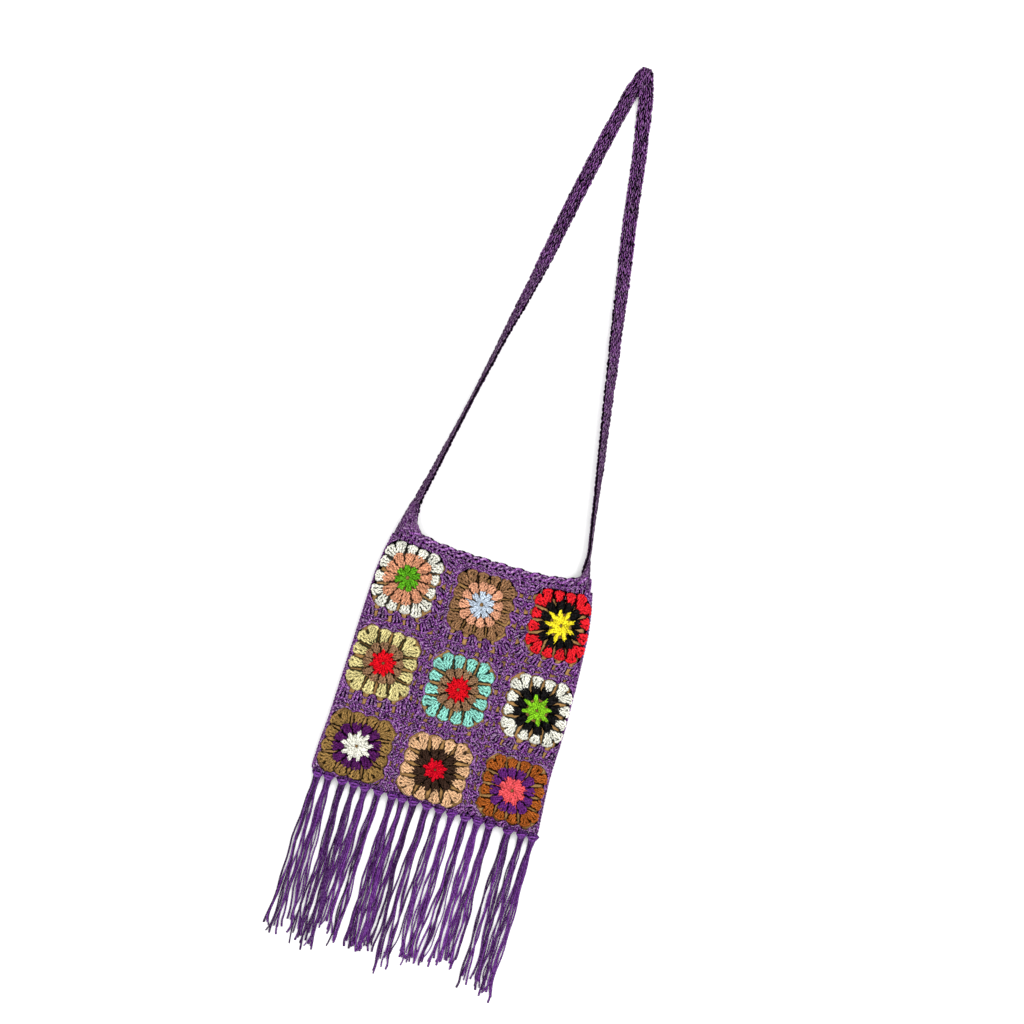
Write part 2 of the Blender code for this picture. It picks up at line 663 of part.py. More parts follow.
def add_mouth_edging():
    """The scalloped band round the mouth, in front, round both corners and behind."""
    turn_radius = (FRONT_Z - BACK_WALL / 2) / 2
    middle_z = (FRONT_Z + BACK_WALL / 2) / 2
    left = side_edge(MOUTH_Y, -1)
    right = side_edge(MOUTH_Y, 1)
    run = [-(left - turn_radius), right - turn_radius]
    stations = []
    steps = SCALLOPS * 3
    for i in range(steps):
        x = run[0] + (i + 0.5) / steps * (run[1] - run[0])
        stations.append((x, FRONT_Z, 0.0, 1.0, (i + 0.5) / 3))
    for degrees in (90, 45, 0, -45, -90):
        turn = math.radians(degrees)
        x = run[1] + turn_radius * math.cos(turn)
        stations.append((x, middle_z + turn_radius * math.sin(turn), math.cos(turn), math.sin(turn), 0.0))
    for i in range(SCALLOPS):
        x = run[1] + (i + 0.5) / SCALLOPS * (run[0] - run[1])
        stations.append((x, BACK_WALL / 2, 0.0, -1.0, 0.25))
    for degrees in (-90, -135, -180, -225, -270):
        turn = math.radians(degrees)
        x = run[0] + turn_radius * math.cos(turn)
        stations.append((x, middle_z + turn_radius * math.sin(turn), math.cos(turn), math.sin(turn), 0.0))
    sections = []
    for x, z, out_x, out_z, phase in stations:
        share = abs(x) / (left if x < 0 else right)
        low = mouth_line(share) + CLEARANCE
        high = rim_top(share, phase)
        half = RIM_WALL / 2
        section = []
        for y, sign in ((low, 1), (high, 1), (high, -1), (low, -1)):
            lean = 1.0 if y == low else RIM_LEAN
            px = (x + sign * half * out_x) * lean
            section.append(Vector((px, y, z + sign * half * out_z)))
        sections.append(section)
    loft("mouth_edging", sections, "purple", closed=True)


BAND_SECTION = (
    (-0.50, -0.22),
    (-0.44, -0.50),
    (0.44, -0.50),
    (0.50, -0.22),
    (0.50, 0.22),
    (0.44, 0.50),
    (-0.44, 0.50),
    (-0.50, 0.22),
)


def band_section(centre, across, through, width):
    """The strap's section: a flat band with rounded edges."""
    section = []
    for w, t in BAND_SECTION:
        section.append(centre + across * (w * width) + through * (t * STRAP_THICKNESS))
    return section


def leg_points(leg):
    """The middle of the band at each of a leg's stations."""
    foot_y = rim_top(1.0, 0.0) + CLEARANCE
    points = []
    for row in leg:
        turn = math.radians(row.face)
        rest = row.breadth * STRAP_WIDTH / 2 * math.sin(turn) + STRAP_THICKNESS / 2 * math.cos(turn)
        x = row.across * HALF_WIDTH
        points.append(Vector((x, foot_y + row.up * STRAP_REACH, rest + row.lift * LAYER_STEP)))
    return points


def leg_sections(leg, side):
    """The sections of one leg from the mouth to the top, on the left (-1) or right (1)."""
    points = leg_points(leg)
    sections = []
    for i, (row, point) in enumerate(zip(leg, points)):
        before = points[max(i - 1, 0)]
        after = points[min(i + 1, len(points) - 1)]
        along = Vector((after.x - before.x, after.y - before.y, 0.0)).normalized()
        if i == 0:
            along = Vector((0.0, 1.0, 0.0))
        turn = math.radians(row.face)
        level = Vector((along.y, -along.x, 0.0))
        across = level * math.cos(turn) - Vector((0.0, 0.0, side * math.sin(turn)))
        through = (along * -side).cross(across)
        section = band_section(point, across, through, row.breadth * STRAP_WIDTH)
        if i == 0:
            edge = side_edge(MOUTH_Y, side)
            for corner in section:
                share = corner.x / RIM_LEAN / edge
                corner.y = rim_top(share, 0.5) + 2 * CLEARANCE
        sections.append(section)
    return sections


def add_strap():
    """The strap: up from the left corner, folded over at the top and down to the right corner."""
    radius = LAYER_STEP / 2
    foot_y = rim_top(1.0, 0.0) + CLEARANCE
    fold_y = foot_y + FOLD_AT * STRAP_REACH - radius - STRAP_THICKNESS / 2
    sections = leg_sections(LEFT_LEG, -1)
    for row in FOLD:
        turn = math.radians(row.turn)
        out = Vector((0.0, math.cos(turn), math.sin(turn)))
        centre = Vector((row.across * HALF_WIDTH, fold_y, STRAP_THICKNESS / 2 + radius)) + out * radius
        sections.append(band_section(centre, Vector((1.0, 0.0, 0.0)), out, row.breadth * STRAP_WIDTH))
    sections += leg_sections(RIGHT_LEG, 1)[::-1]
    loft("shoulder_strap", sections, "strap_purple")


# A tassel's section: two locks side by side, from the left edge over the top and back.
LOCK_SECTION = (
    (-1.0, 0.0),
    (-0.5, 1.0),
    (0.0, 0.6),
    (0.5, 1.0),
    (1.0, 0.0),
    (0.5, -1.0),
    (0.0, -0.6),
    (-0.5, -1.0),
)
LEFT_LOCK = (0, 1, 2, 6, 7)
RIGHT_LOCK = (2, 3, 4, 5, 6)

# Where a tassel's sections lie. Turn is the angle round the rolled bottom edge for those of the
# knot, width and height are shares of the knot's or the tassel's own.
KnotRow = namedtuple("KnotRow", "turn width height")
KNOT_ROWS = (KnotRow(20, 0.80, 0.70), KnotRow(78, 1.0, 1.0))
LockRow = namedtuple("LockRow", "along width height")
LOCK_ROWS = (LockRow(0.12, 0.80, 1.0), LockRow(0.50, 1.0, 0.98), LockRow(0.80, 0.96, 0.90))
NECK_DROP = 0.0060
NECK_Z = 0.0046
NECK_WIDTH = 0.74
NECK_SLANT = math.radians(30)
FULL_BREADTH = 0.8
LOCK_END = 0.72
LOCK_PART = 0.28
SHORT_LOCK = 0.94


def tassel_section(centre, up, half_width, half_height):
    """One section of a tassel, level across the bag."""
    side = Vector((1.0, 0.0, 0.0))
    return [centre + side * (w * half_width) + up * (h * half_height) for w, h in LOCK_SECTION]


def seam_height(x):
    """The height of the bottom seam's middle line at x: it turns up at the bag's corners."""
    over = max(0.0, abs(x) - side_edge(BOTTOM_Y, 1 if x > 0 else -1) + EDGE_ROLL)
    return BOTTOM_Y + EDGE_ROLL - math.sqrt(max(0.0, EDGE_ROLL**2 - over**2))


def add_tassel(number, tassel):
    """One tassel: a knot round the bottom seam and a bundle that parts into two locks."""
    x_knot = tassel.knot * HALF_WIDTH
    seam_y = seam_height(x_knot)
    length = tassel.reach * FRINGE_LENGTH
    sections = []
    path_radius = EDGE_ROLL + FRONT_WALL / 2 + MOTIF_PROUD + CLEARANCE + KNOT_THICKNESS / 2
    for row in KNOT_ROWS:
        turn = math.radians(row.turn)
        out = Vector((0.0, -math.sin(turn), math.cos(turn)))
        centre = Vector((x_knot, seam_y + EDGE_ROLL, EDGE_Z)) + out * path_radius
        half_width = KNOT_WIDTH / 2 * row.width * min(1.0, tassel.breadth / FULL_BREADTH)
        sections.append(tassel_section(centre, out, half_width, KNOT_THICKNESS / 2 * row.height))
    neck = Vector((x_knot, seam_y - NECK_DROP, NECK_Z))
    slant = Vector((0.0, -math.sin(NECK_SLANT), math.cos(NECK_SLANT)))
    half_neck = TASSEL_WIDTH / 2 * tassel.breadth * NECK_WIDTH
    sections.append(tassel_section(neck, slant, half_neck, KNOT_THICKNESS / 2))
    up = Vector((0.0, 0.0, 1.0))
    for row in LOCK_ROWS:
        along = row.along
        x = float(np.interp(along, (0.12, 0.5, 1.0), (tassel.knot, tassel.middle, tassel.tip))) * HALF_WIDTH
        half_height = TASSEL_HEIGHT / 2 * row.height
        centre = Vector((x, BOTTOM_Y - along * length, half_height))
        half_width = TASSEL_WIDTH / 2 * tassel.breadth * row.width
        sections.append(tassel_section(centre, up, half_width, half_height))
    size = len(LOCK_SECTION)
    points = [p for section in sections for p in section]
    faces = [tuple(range(size))[::-1]]
    for i in range(len(sections) - 1):
        for j in range(size):
            k = (j + 1) % size
            faces.append((i * size + j, i * size + k, (i + 1) * size + k, (i + 1) * size + j))
    base = (len(sections) - 1) * size
    fork_x = sections[-1][2].x
    tip_x = tassel.tip * HALF_WIDTH
    for lock, short in ((LEFT_LOCK, number % 2), (RIGHT_LOCK, (number + 1) % 2)):
        corners = [base + i for i in lock]
        middle = sum((points[i] for i in corners), Vector()) / len(corners)
        shift = (middle.x - fork_x) * LOCK_PART + tip_x - fork_x
        y = BOTTOM_Y - length * (SHORT_LOCK if short else 1.0)
        first = len(points)
        for i in corners:
            point = middle + (points[i] - middle) * LOCK_END
            points.append(Vector((point.x + shift, y, point.z * LOCK_END)))
        count = len(corners)
        for j in range(count):
            k = (j + 1) % count
            faces.append((corners[j], corners[k], first + k, first + j))
        faces.append(tuple(range(first, first + count)))
    add_solid(f"tassel_{number:02d}", points, faces, "fringe_purple")


def main():
    """Build the bag."""
    clear_scene()
    add_front_net()
    for square in SQUARES:
        add_square(square)
    add_back_panel()
    add_seam_edging()
    add_mouth_edging()
    add_lining()
    add_strap()
    for number, tassel in enumerate(TASSELS, 1):
        add_tassel(number, tassel)


main()
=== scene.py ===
"""Dresses the crochet tote bag: stitches, cloth, strap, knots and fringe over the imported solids.

The bag lies flat on a pale floor and is seen from straight above, as in the photograph. Every yarn
is a tube that follows its stitch, so the gaps of the net are real gaps with the lining behind them.

Metres, in the frame of the solids. X is the bag's right, Y runs from the fringe towards the strap.
"""

from __future__ import annotations

import logging
import math
from collections import namedtuple
from dataclasses import dataclass, field
from enum import Enum
from functools import partial
from typing import Any, Callable, Iterable

import bpy
import numpy as np
from mathutils import Matrix, Vector

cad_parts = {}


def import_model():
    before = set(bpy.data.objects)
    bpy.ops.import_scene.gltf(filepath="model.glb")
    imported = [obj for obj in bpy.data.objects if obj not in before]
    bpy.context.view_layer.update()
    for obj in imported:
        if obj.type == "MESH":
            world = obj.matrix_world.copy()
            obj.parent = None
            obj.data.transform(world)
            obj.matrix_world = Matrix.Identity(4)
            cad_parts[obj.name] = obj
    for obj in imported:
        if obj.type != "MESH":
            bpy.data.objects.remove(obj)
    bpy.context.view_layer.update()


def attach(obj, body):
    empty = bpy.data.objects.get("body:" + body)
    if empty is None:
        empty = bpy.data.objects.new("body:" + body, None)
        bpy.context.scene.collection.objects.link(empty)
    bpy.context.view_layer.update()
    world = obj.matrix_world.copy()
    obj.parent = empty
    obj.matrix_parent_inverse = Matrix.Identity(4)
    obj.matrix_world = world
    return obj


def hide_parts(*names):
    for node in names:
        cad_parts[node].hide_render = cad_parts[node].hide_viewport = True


LOG = logging.getLogger("crochet_tote")
MM = 0.001
TAU = math.tau
UP = (0.0, 0.0, 1.0)
DOWN = (0.0, 0.0, -1.0)
PRESSED_BELOW = 0.4 * MM
PRESSED_DEPTH = 0.7 * MM
# A ply's distance from its yarn's middle line and its own radius, as shares of the yarn's radius.
PLY_OFFSET = 0.42
PLY_RADIUS = 0.62
# How far round its side a yarn still gets painted light, and the range from there to its crown.
LIT_ROUND = 0.25
LIT_RANGE = 1.15

# The panel's side edges. Height is a share from the bottom seam to the mouth, left and right are
# shares of the half width.
EdgeRow = namedtuple("EdgeRow", "height left right")
EDGE_ROWS = [EdgeRow(*row) for row in (
    (0.000, 1.026, 1.041),
    (0.115, 1.022, 1.019),
    (0.239, 1.006, 0.999),
    (0.461, 0.998, 1.004),
    (0.658, 0.992, 0.986),
    (0.856, 0.984, 0.960),
    (0.955, 0.962, 0.925),
    (1.000, 0.944, 0.899),
    (1.062, 0.922, 0.869),
    (1.100, 0.905, 0.845),
)]

# The nine squares. Shifts and reaches are shares of the square's width, tall is height over width,
# and the colours run from the centre to the outer round.
Square = namedtuple("Square", "row column shift_x shift_y centre inner outer tall colours")
SQUARES = [Square(*row) for row in (
    (1, 1, -0.002, 0.064, 0.160, 0.300, 0.395, 1.10, ("grass_green", "salmon", "ivory")),
    (1, 2, -0.012, 0.023, 0.167, 0.270, 0.389, 1.02, ("pale_blue", "peach", "tan_brown")),
    (1, 3, 0.042, 0.041, 0.180, 0.290, 0.407, 1.02, ("yellow", "black", "scarlet")),
    (2, 1, 0.030, 0.057, 0.160, 0.250, 0.407, 1.02, ("red", "taupe", "straw")),
    (2, 2, 0.012, 0.011, 0.154, 0.250, 0.395, 1.05, ("red", "taupe", "aqua")),
    (2, 3, 0.017, 0.046, 0.167, 0.290, 0.407, 1.00, ("lime", "black", "ivory")),
    (3, 1, 0.030, 0.057, 0.175, 0.290, 0.410, 1.00, ("ivory", "aubergine", "olive_tan")),
    (3, 2, 0.025, 0.057, 0.138, 0.264, 0.410, 1.00, ("crimson", "dark_brown", "light_peach")),
    (3, 3, -0.002, 0.085, 0.167, 0.272, 0.389, 1.02, ("coral", "plum", "rust")),
)]

# How each square's rounds are worked. Arms counts those of the star, point is their length as a share
# of the round, open is half the angle between the two posts of an arm as a share of the step, tip is
# the thickness there, and strands counts the loose loops drawn out over the next round. Leaf is the
# width of an inner petal's head as a share of its room, foot that of an outer petal's foot as a share
# of its head.
Star = namedtuple("Star", "arms point open tip strands leaf foot")
STARS = {
    (1, 1): Star(8, 0.98, 0.16, 0.95, 0, 0.84, 0.66),
    (1, 2): Star(9, 0.98, 0.17, 0.90, 5, 0.84, 0.60),
    (1, 3): Star(9, 1.24, 0.04, 0.42, 0, 0.70, 0.46),
    (2, 1): Star(8, 1.16, 0.04, 0.40, 0, 0.84, 0.60),
    (2, 2): Star(10, 1.12, 0.04, 0.42, 0, 0.84, 0.58),
    (2, 3): Star(8, 1.22, 0.04, 0.40, 2, 0.70, 0.42),
    (3, 1): Star(9, 1.16, 0.06, 0.62, 0, 0.82, 0.50),
    (3, 2): Star(7, 1.10, 0.04, 0.40, 0, 0.80, 0.42),
    (3, 3): Star(8, 1.02, 0.12, 0.70, 9, 0.82, 0.50),
}

# The strap's stations from a corner of the mouth to the top. Up is a share of the strap's reach,
# across a share of the body's half width, face the band's turn on edge in degrees, breadth a share
# of the strap's width and lift a share of the step between two layers.
StrapRow = namedtuple("StrapRow", "up across face breadth lift", defaults=(1.0, 0.0))
LEFT_LEG = [StrapRow(*row) for row in (
    (0.000, -0.832, 18, 1.26, 1.22),
    (0.025, -0.824, 46, 1.10, 0.62),
    (0.052, -0.810, 62, 1.00, 0.10),
    (0.108, -0.757, 69),
    (0.167, -0.706, 76),
    (0.226, -0.653, 81),
    (0.285, -0.603, 83),
    (0.344, -0.552, 76),
    (0.404, -0.503, 70),
    (0.463, -0.450, 57),
    (0.522, -0.396, 46),
    (0.582, -0.348, 28),
    (0.700, -0.263, 6),
    (0.820, -0.165, 0),
    (0.908, -0.083, 0, 0.97),
    (0.938, -0.055, 0),
    (0.968, -0.014, 0, 0.98),
)]
RIGHT_LEG = [StrapRow(*row) for row in (
    (0.000, 0.780, 67),
    (0.028, 0.774, 82),
    (0.052, 0.764, 87),
    (0.108, 0.720, 82),
    (0.167, 0.677, 76),
    (0.226, 0.633, 66),
    (0.285, 0.586, 61),
    (0.344, 0.540, 54),
    (0.404, 0.497, 47),
    (0.463, 0.448, 42),
    (0.522, 0.405, 33),
    (0.582, 0.359, 20),
    (0.700, 0.265, 6),
    (0.820, 0.185, 0, 1.00, 0.05),
    (0.908, 0.112, 0, 1.04, 0.75),
    (0.938, 0.089, 0, 1.00, 1.00),
    (0.968, 0.055, 0, 0.98, 1.00),
)]
# The fold at the strap's top. Turn is the angle from the lower layer round to the upper one.
FoldRow = namedtuple("FoldRow", "turn across breadth")
FOLD = (
    FoldRow(-90, 0.012, 0.86),
    FoldRow(-30, 0.020, 0.64),
    FoldRow(30, 0.023, 0.64),
    FoldRow(90, 0.030, 0.86),
)

# The ribs at the strap's two ends, in millimetres: the first and last rib's place across the mouth
# and how far up the strap they run, on the inner and on the outer edge.
Root = namedtuple("Root", "side ribs first last inner_rise outer_rise")
ROOTS = (
    Root(-1, 14, -115.5, -80.0, 26, 40),
    Root(1, 10, 84.0, 107.0, 17, 36),
)

# The tassels from left to right. Knot, middle and tip are shares of the body's half width, reach is
# a share of the fringe's length and breadth a share of a tassel's width.
Tassel = namedtuple("Tassel", "knot middle tip reach breadth")
TASSELS = [Tassel(*row) for row in (
    (-0.965, -0.965, -0.975, 1.006, 0.90),
    (-0.862, -0.850, -0.815, 0.963, 0.84),
    (-0.735, -0.722, -0.726, 1.050, 0.74),
    (-0.628, -0.622, -0.628, 1.050, 0.74),
    (-0.525, -0.530, -0.535, 0.944, 0.68),
    (-0.405, -0.430, -0.440, 0.963, 0.80),
    (-0.275, -0.272, -0.262, 1.006, 0.66),
    (-0.183, -0.188, -0.180, 0.994, 0.62),
    (-0.080, -0.098, -0.090, 0.969, 0.66),
    (0.042, 0.032, 0.055, 1.044, 0.80),
    (0.160, 0.145, 0.163, 0.981, 0.76),
    (0.273, 0.262, 0.272, 0.969, 0.78),
    (0.398, 0.404, 0.388, 0.956, 0.82),
    (0.510, 0.510, 0.500, 0.956, 0.74),
    (0.622, 0.624, 0.628, 0.906, 0.80),
    (0.793, 0.808, 0.822, 0.994, 0.96),
    (0.916, 0.915, 0.915, 1.000, 0.74),
    (1.016, 1.010, 1.014, 1.019, 0.74),
)]


class Ply(Enum):
    """How many strands run round one another."""

    DOUBLE = 2
    TRIPLE = 3


def srgb(code: str) -> tuple[float, float, float, float]:
    """Turn an sRGB hex value into a linear colour.

    Args:
        code: The colour as six hex digits, with or without a hash.

    Returns:
        The linear colour with full alpha.
    """
    digits = code.lstrip("#")
    channels = [int(digits[i : i + 2], 16) / 255 for i in (0, 2, 4)]
    curved = [c / 12.92 if c <= 0.04045 else ((c + 0.055) / 1.055) ** 2.4 for c in channels]
    return (curved[0], curved[1], curved[2], 1.0)


def fill(tree: bpy.types.NodeTree, node: bpy.types.Node, inputs: dict[Any, Any]) -> None:
    """Set or link a node's inputs.

    Args:
        tree: The material's node tree.
        node: The node.
        inputs: Values or output sockets, by the name or number of the input.
    """
    for name, value in inputs.items():
        if isinstance(value, bpy.types.NodeSocket):
            tree.links.new(value, node.inputs[name])
        else:
            node.inputs[name].default_value = value


def add_node(
    tree: bpy.types.NodeTree, kind: str, inputs: dict[Any, Any], give: str | int = 0, **settings: Any
) -> bpy.types.NodeSocket:
    """Add a shader node, set it up and link it.

    Args:
        tree: The material's node tree.
        kind: The node's type, without the words that all types start with.
        inputs: Values or output sockets, by the name or number of the input.
        give: The output that is wanted.
        settings: Attributes of the node.

    Returns:
        The wanted output.
    """
    node = tree.nodes.new(f"ShaderNode{kind}")
    for name, value in settings.items():
        setattr(node, name, value)
    fill(tree, node, inputs)
    return node.outputs[give]


def new_material(name: str) -> tuple[bpy.types.Material, Callable[..., Any], Callable[..., None]]:
    """Start a material.

    Args:
        name: Its name.

    Returns:
        The material, the way to add a node to it and the way to fill its shader's inputs.
    """
    made = bpy.data.materials.new(name)
    made.use_nodes = True
    tree = made.node_tree
    return made, partial(add_node, tree), partial(fill, tree, tree.nodes["Principled BSDF"])


def linked(name: str, data: Any) -> bpy.types.Object:
    """Put a new object of a mesh, a light or a camera in the scene."""
    made = bpy.data.objects.new(name, data)
    bpy.context.collection.objects.link(made)
    return made


@dataclass(frozen=True)
class YarnFinish:
    """Worsted acrylic yarn, spun and plied.

    Soft matt fibre with hardly a gleam. Light and shade are painted into its colour: painted shade in the
    grooves between plies and on the sides of each yarn, painted highlights of pale flecks on the lit
    crowns.
    """

    slot: str
    colour: str
    painted_ply_shade: float = 0.55
    painted_shade_floor: float = 0.06
    spread: float = 0.16
    speckle: float = 0.42
    painted_highlight: float = 0.004
    depth: float = 0.85
    roughness: float = 0.85
    sheen: float = 0.004
    lay: float = 4.4 * MM
    plies: int = 2
    fibre: float = 0.35 * MM
    fleck: float = 1.9 * MM
    patch: float = 11.0 * MM

    def material(self) -> bpy.types.Material:
        """Make or fetch the yarn's material.

        Returns:
            A material whose twist follows the yarn's own length.
        """
        name = f"acrylic_{self.slot}"
        if name in bpy.data.materials:
            return bpy.data.materials[name]
        made, add, fill_shader = new_material(name)
        place = add("TexCoord", {}, "Object")
        parts = add("SeparateXYZ", {0: add("UVMap", {}, uv_map="lay")}).node.outputs
        # One turn of the lay takes this much yarn, drawn a little coarse so that it shows.
        along = add("Math", {0: parts["X"], 1: self.plies / self.lay}, operation="MULTIPLY")
        around = add("Math", {0: parts["Y"], 1: float(self.plies)}, operation="MULTIPLY")
        wound = add("Math", {0: along, 1: around}, operation="ADD")
        ply = add("MapRange", {0: add("Math", {0: wound, 1: 0.5}, operation="PINGPONG"), 2: 0.5})
        hair, fleck, patch = (
            add("TexNoise", {"Vector": place, "Scale": 1 / size, "Detail": detail})
            for size, detail in ((self.fibre, 3.0), (self.fleck, 2.0), (self.patch, 2.0))
        )
        stitch, painted_light = (add("Attribute", {}, "Fac", attribute_name=kind) for kind in ("shade", "painted_light"))
        # Painted shade: each yarn is darkened down to the painted shade floor on its sides and lit on the
        # side that faces out.
        painted_shading = add("MapRange", {0: painted_light, 1: 0.25, 2: 0.92, 3: self.painted_shade_floor, 4: 1.08})
        # Light is lost between the fibres, so a yarn is darker than its dye.
        value = add("MapRange", {0: stitch, 3: self.depth - self.spread, 4: self.depth + self.spread})
        for factor in (
            # Painted shade in the grooves between the plies.
            add("MapRange", {0: ply, 3: self.painted_ply_shade, 4: 1.08}),
            # Painted shade on the yarn's sides and painted light on its crown.
            painted_shading,
            add("MapRange", {0: fleck, 1: 0.3, 2: 0.7, 3: 1 - self.speckle, 4: 1 + self.speckle}),
            add("MapRange", {0: patch, 1: 0.3, 2: 0.7, 3: 0.93, 4: 1.07}),
            add("MapRange", {0: hair, 1: 0.3, 2: 0.7, 3: 0.88, 4: 1.12}),
        ):
            value = add("Math", {0: value, 1: factor}, operation="MULTIPLY")
        tint = add("HueSaturation", {"Color": srgb(self.colour), "Value": value})
        # Painted highlight: pale flecks on the lit crown of each yarn, standing in for the light that
        # glances off its fibres.
        highlight_flecks = add("MapRange", {0: fleck, 1: 0.42, 2: 0.7, 4: 2 * self.painted_highlight})
        crown = add("Math", {0: painted_shading, 1: 3.0}, operation="POWER")
        highlight_share = add("Math", {0: highlight_flecks, 1: crown}, operation="MULTIPLY")
        highlighted_tint = add("Mix", {0: highlight_share, 6: tint, 7: srgb("#F4E6EC")}, 2, data_type="RGBA")
        height = add("Math", {0: hair, 1: 0.45}, operation="MULTIPLY")
        height = add("Math", {0: ply, 1: height}, operation="ADD")
        bump = add("Bump", {"Height": height, "Distance": 0.3 * MM, "Strength": 0.9})
        fill_shader({
            "Base Color": highlighted_tint, "Normal": bump, "Roughness": self.roughness, "Specular IOR Level": 0.015,
            "Sheen Weight": self.sheen, "Sheen Roughness": 0.55,
        })
        return made


@dataclass(frozen=True)
class ClothFinish:
    """Plain woven cotton, washed soft: threads over and under with a dull, dry face."""

    slot: str
    colour: str
    thread: float = 0.8 * MM
    patch: float = 14.0 * MM
    roughness: float = 0.92

    def material(self) -> bpy.types.Material:
        """Make the cloth's material.

        Returns:
            A material with a plain weave, drawn as coarse as it needs to show.
        """
        made, add, fill_shader = new_material(f"cotton_{self.slot}")
        place = add("TexCoord", {}, "Object")
        threads = {"Vector": place, "Scale": 1 / self.thread / 20, "Distortion": 0.6}
        weft, warp = (add("TexWave", threads, "Fac", bands_direction=way) for way in ("X", "Y"))
        weave = add("Math", {0: weft, 1: warp}, operation="MULTIPLY")
        patch = add("TexNoise", {"Vector": place, "Scale": 1 / self.patch, "Detail": 4.0})
        tone = add("MapRange", {0: weave, 3: 0.80, 4: 1.08})
        wash = add("MapRange", {0: patch, 1: 0.3, 2: 0.7, 3: 0.90, 4: 1.08})
        value = add("Math", {0: tone, 1: wash}, operation="MULTIPLY")
        tint = add("HueSaturation", {"Color": srgb(self.colour), "Value": value})
        bump = add("Bump", {"Height": weave, "Distance": 0.2 * MM, "Strength": 0.7})
        fill_shader({"Base Color": tint, "Normal": bump, "Roughness": self.roughness, "Sheen Weight": 0.15})
        return made


# The purple yarns: painted ply shade, painted shade floor, spread, speckle, painted highlight and depth
# after the colour.
GROUND_YARN = YarnFinish("ground_yarn", "#76298A", 0.32, 0.03, 0.50, 0.62, 0.15, 0.88)
STRAP_YARN = YarnFinish("strap_yarn", "#753884", 0.46, 0.0, 0.52, 0.50, 0.11, 0.80)
FRINGE_YARN = YarnFinish("fringe_yarn", "#5C2676", 0.66, -0.10, 0.58, 0.34, 0.03, 0.86, lay=6.5 * MM)
LINING_COTTON = ClothFinish("lining_cloth", "#BC8F54")
YARN_COLOURS = {
    "grass_green": "#5FAE1E",
    "salmon": "#DE9A76",
    "ivory": "#F6F5E6",
    "pale_blue": "#CBDAEA",
    "peach": "#E9A884",
    "tan_brown": "#9C7350",
    "yellow": "#FBE82A",
    "black": "#121112",
    "scarlet": "#F3222E",
    "red": "#E00A1C",
    "taupe": "#9A7556",
    "straw": "#E8DA96",
    "aqua": "#98E6D4",
    "lime": "#86CB22",
    "aubergine": "#551A5C",
    "olive_tan": "#9C7A45",
    "crimson": "#DA0622",
    "dark_brown": "#3A271D",
    "light_peach": "#EDBD90",
    "coral": "#F55A60",
    "plum": "#662779",
    "rust": "#AD5C22",
}


def points_of(*parts: Any) -> np.ndarray:
    """Points of their coordinates, where a coordinate may be one number for all."""
    return np.stack(np.broadcast_arrays(*parts), axis=-1)


def unit(vectors: np.ndarray) -> np.ndarray:
    """The same directions with a length of one."""
    return vectors / np.maximum(np.linalg.norm(vectors, axis=-1, keepdims=True), 1e-12)


def runs(start: np.ndarray, end: np.ndarray, share: np.ndarray) -> np.ndarray:
    """Straight paths from each start to its end, with a point at each share of the way."""
    return start[:, None] + (end - start)[:, None] * share[None, :, None]


def length_along(line: np.ndarray) -> np.ndarray:
    """The length of a line up to each of its points."""
    return np.concatenate([[0.0], np.cumsum(np.linalg.norm(np.diff(line, axis=0), axis=1))])


def sampled(values: np.ndarray, length: np.ndarray, at: np.ndarray) -> np.ndarray:
    """What a line's values are at given lengths along it."""
    return np.stack([np.interp(at, length, values[:, k]) for k in range(values.shape[1])], axis=-1)


def rounded(control: np.ndarray, shares: np.ndarray) -> np.ndarray:
    """Draw a smooth curve through the points of each path.

    Args:
        control: The points, as paths by points by coordinates.
        shares: Where the curve is taken between one point and the next.

    Returns:
        The curves, each with its last point.
    """
    first = 2 * control[:, :1] - control[:, 1:2]
    last = 2 * control[:, -1:] - control[:, -2:-1]
    p = np.concatenate([first, control, last], axis=1)
    blocks = []
    for i in range(1, p.shape[1] - 2):
        a, b, c, d = p[:, i - 1], p[:, i], p[:, i + 1], p[:, i + 2]
        square, cube = 2 * a - 5 * b + 4 * c - d, 3 * b - a - 3 * c + d
        blocks += [0.5 * (2 * b + (c - a) * t + square * t**2 + cube * t**3) for t in shares]
    blocks.append(control[:, -1])
    return np.stack(blocks, axis=1)


def frames_along(paths: np.ndarray) -> tuple[np.ndarray, np.ndarray]:
    """Carry a pair of side directions along each path without twist.

    Args:
        paths: Points of equal paths, as paths by points by three.

    Returns:
        Two unit vectors at each point, square to the path and to each other.
    """
    tangent = unit(np.gradient(paths, axis=1))
    up = np.where(np.abs(tangent[:, 0, 2:3]) > 0.9, [[0.0, 1.0, 0.0]], [[0.0, 0.0, 1.0]])
    first = np.empty_like(paths)
    for i in range(paths.shape[1]):
        up = unit(up - np.sum(up * tangent[:, i], axis=1, keepdims=True) * tangent[:, i])
        first[:, i] = up
    return first, np.cross(tangent, first)


def laid_up(paths: np.ndarray, radii: np.ndarray, turns: float, ply: Ply, phase: np.ndarray) -> np.ndarray:
    """Wind the plies of a yarn round its middle line.

    Args:
        paths: Middle lines, as paths by points by three.
        radii: The distance of a ply's own middle from the line at each point.
        turns: Turns over the whole path.
        ply: How many plies are laid up.
        phase: The angle that each path starts with.

    Returns:
        The plies' paths, one block after another.
    """
    first, second = frames_along(paths)
    share = np.linspace(0.0, 1.0, paths.shape[1])[None, :]
    blocks = []
    for k in range(ply.value):
        angle = phase[:, None] + TAU * (turns * share + k / ply.value)
        side = np.cos(angle)[..., None] * first + np.sin(angle)[..., None] * second
        blocks.append(paths + radii[..., None] * side)
    return np.concatenate(blocks)


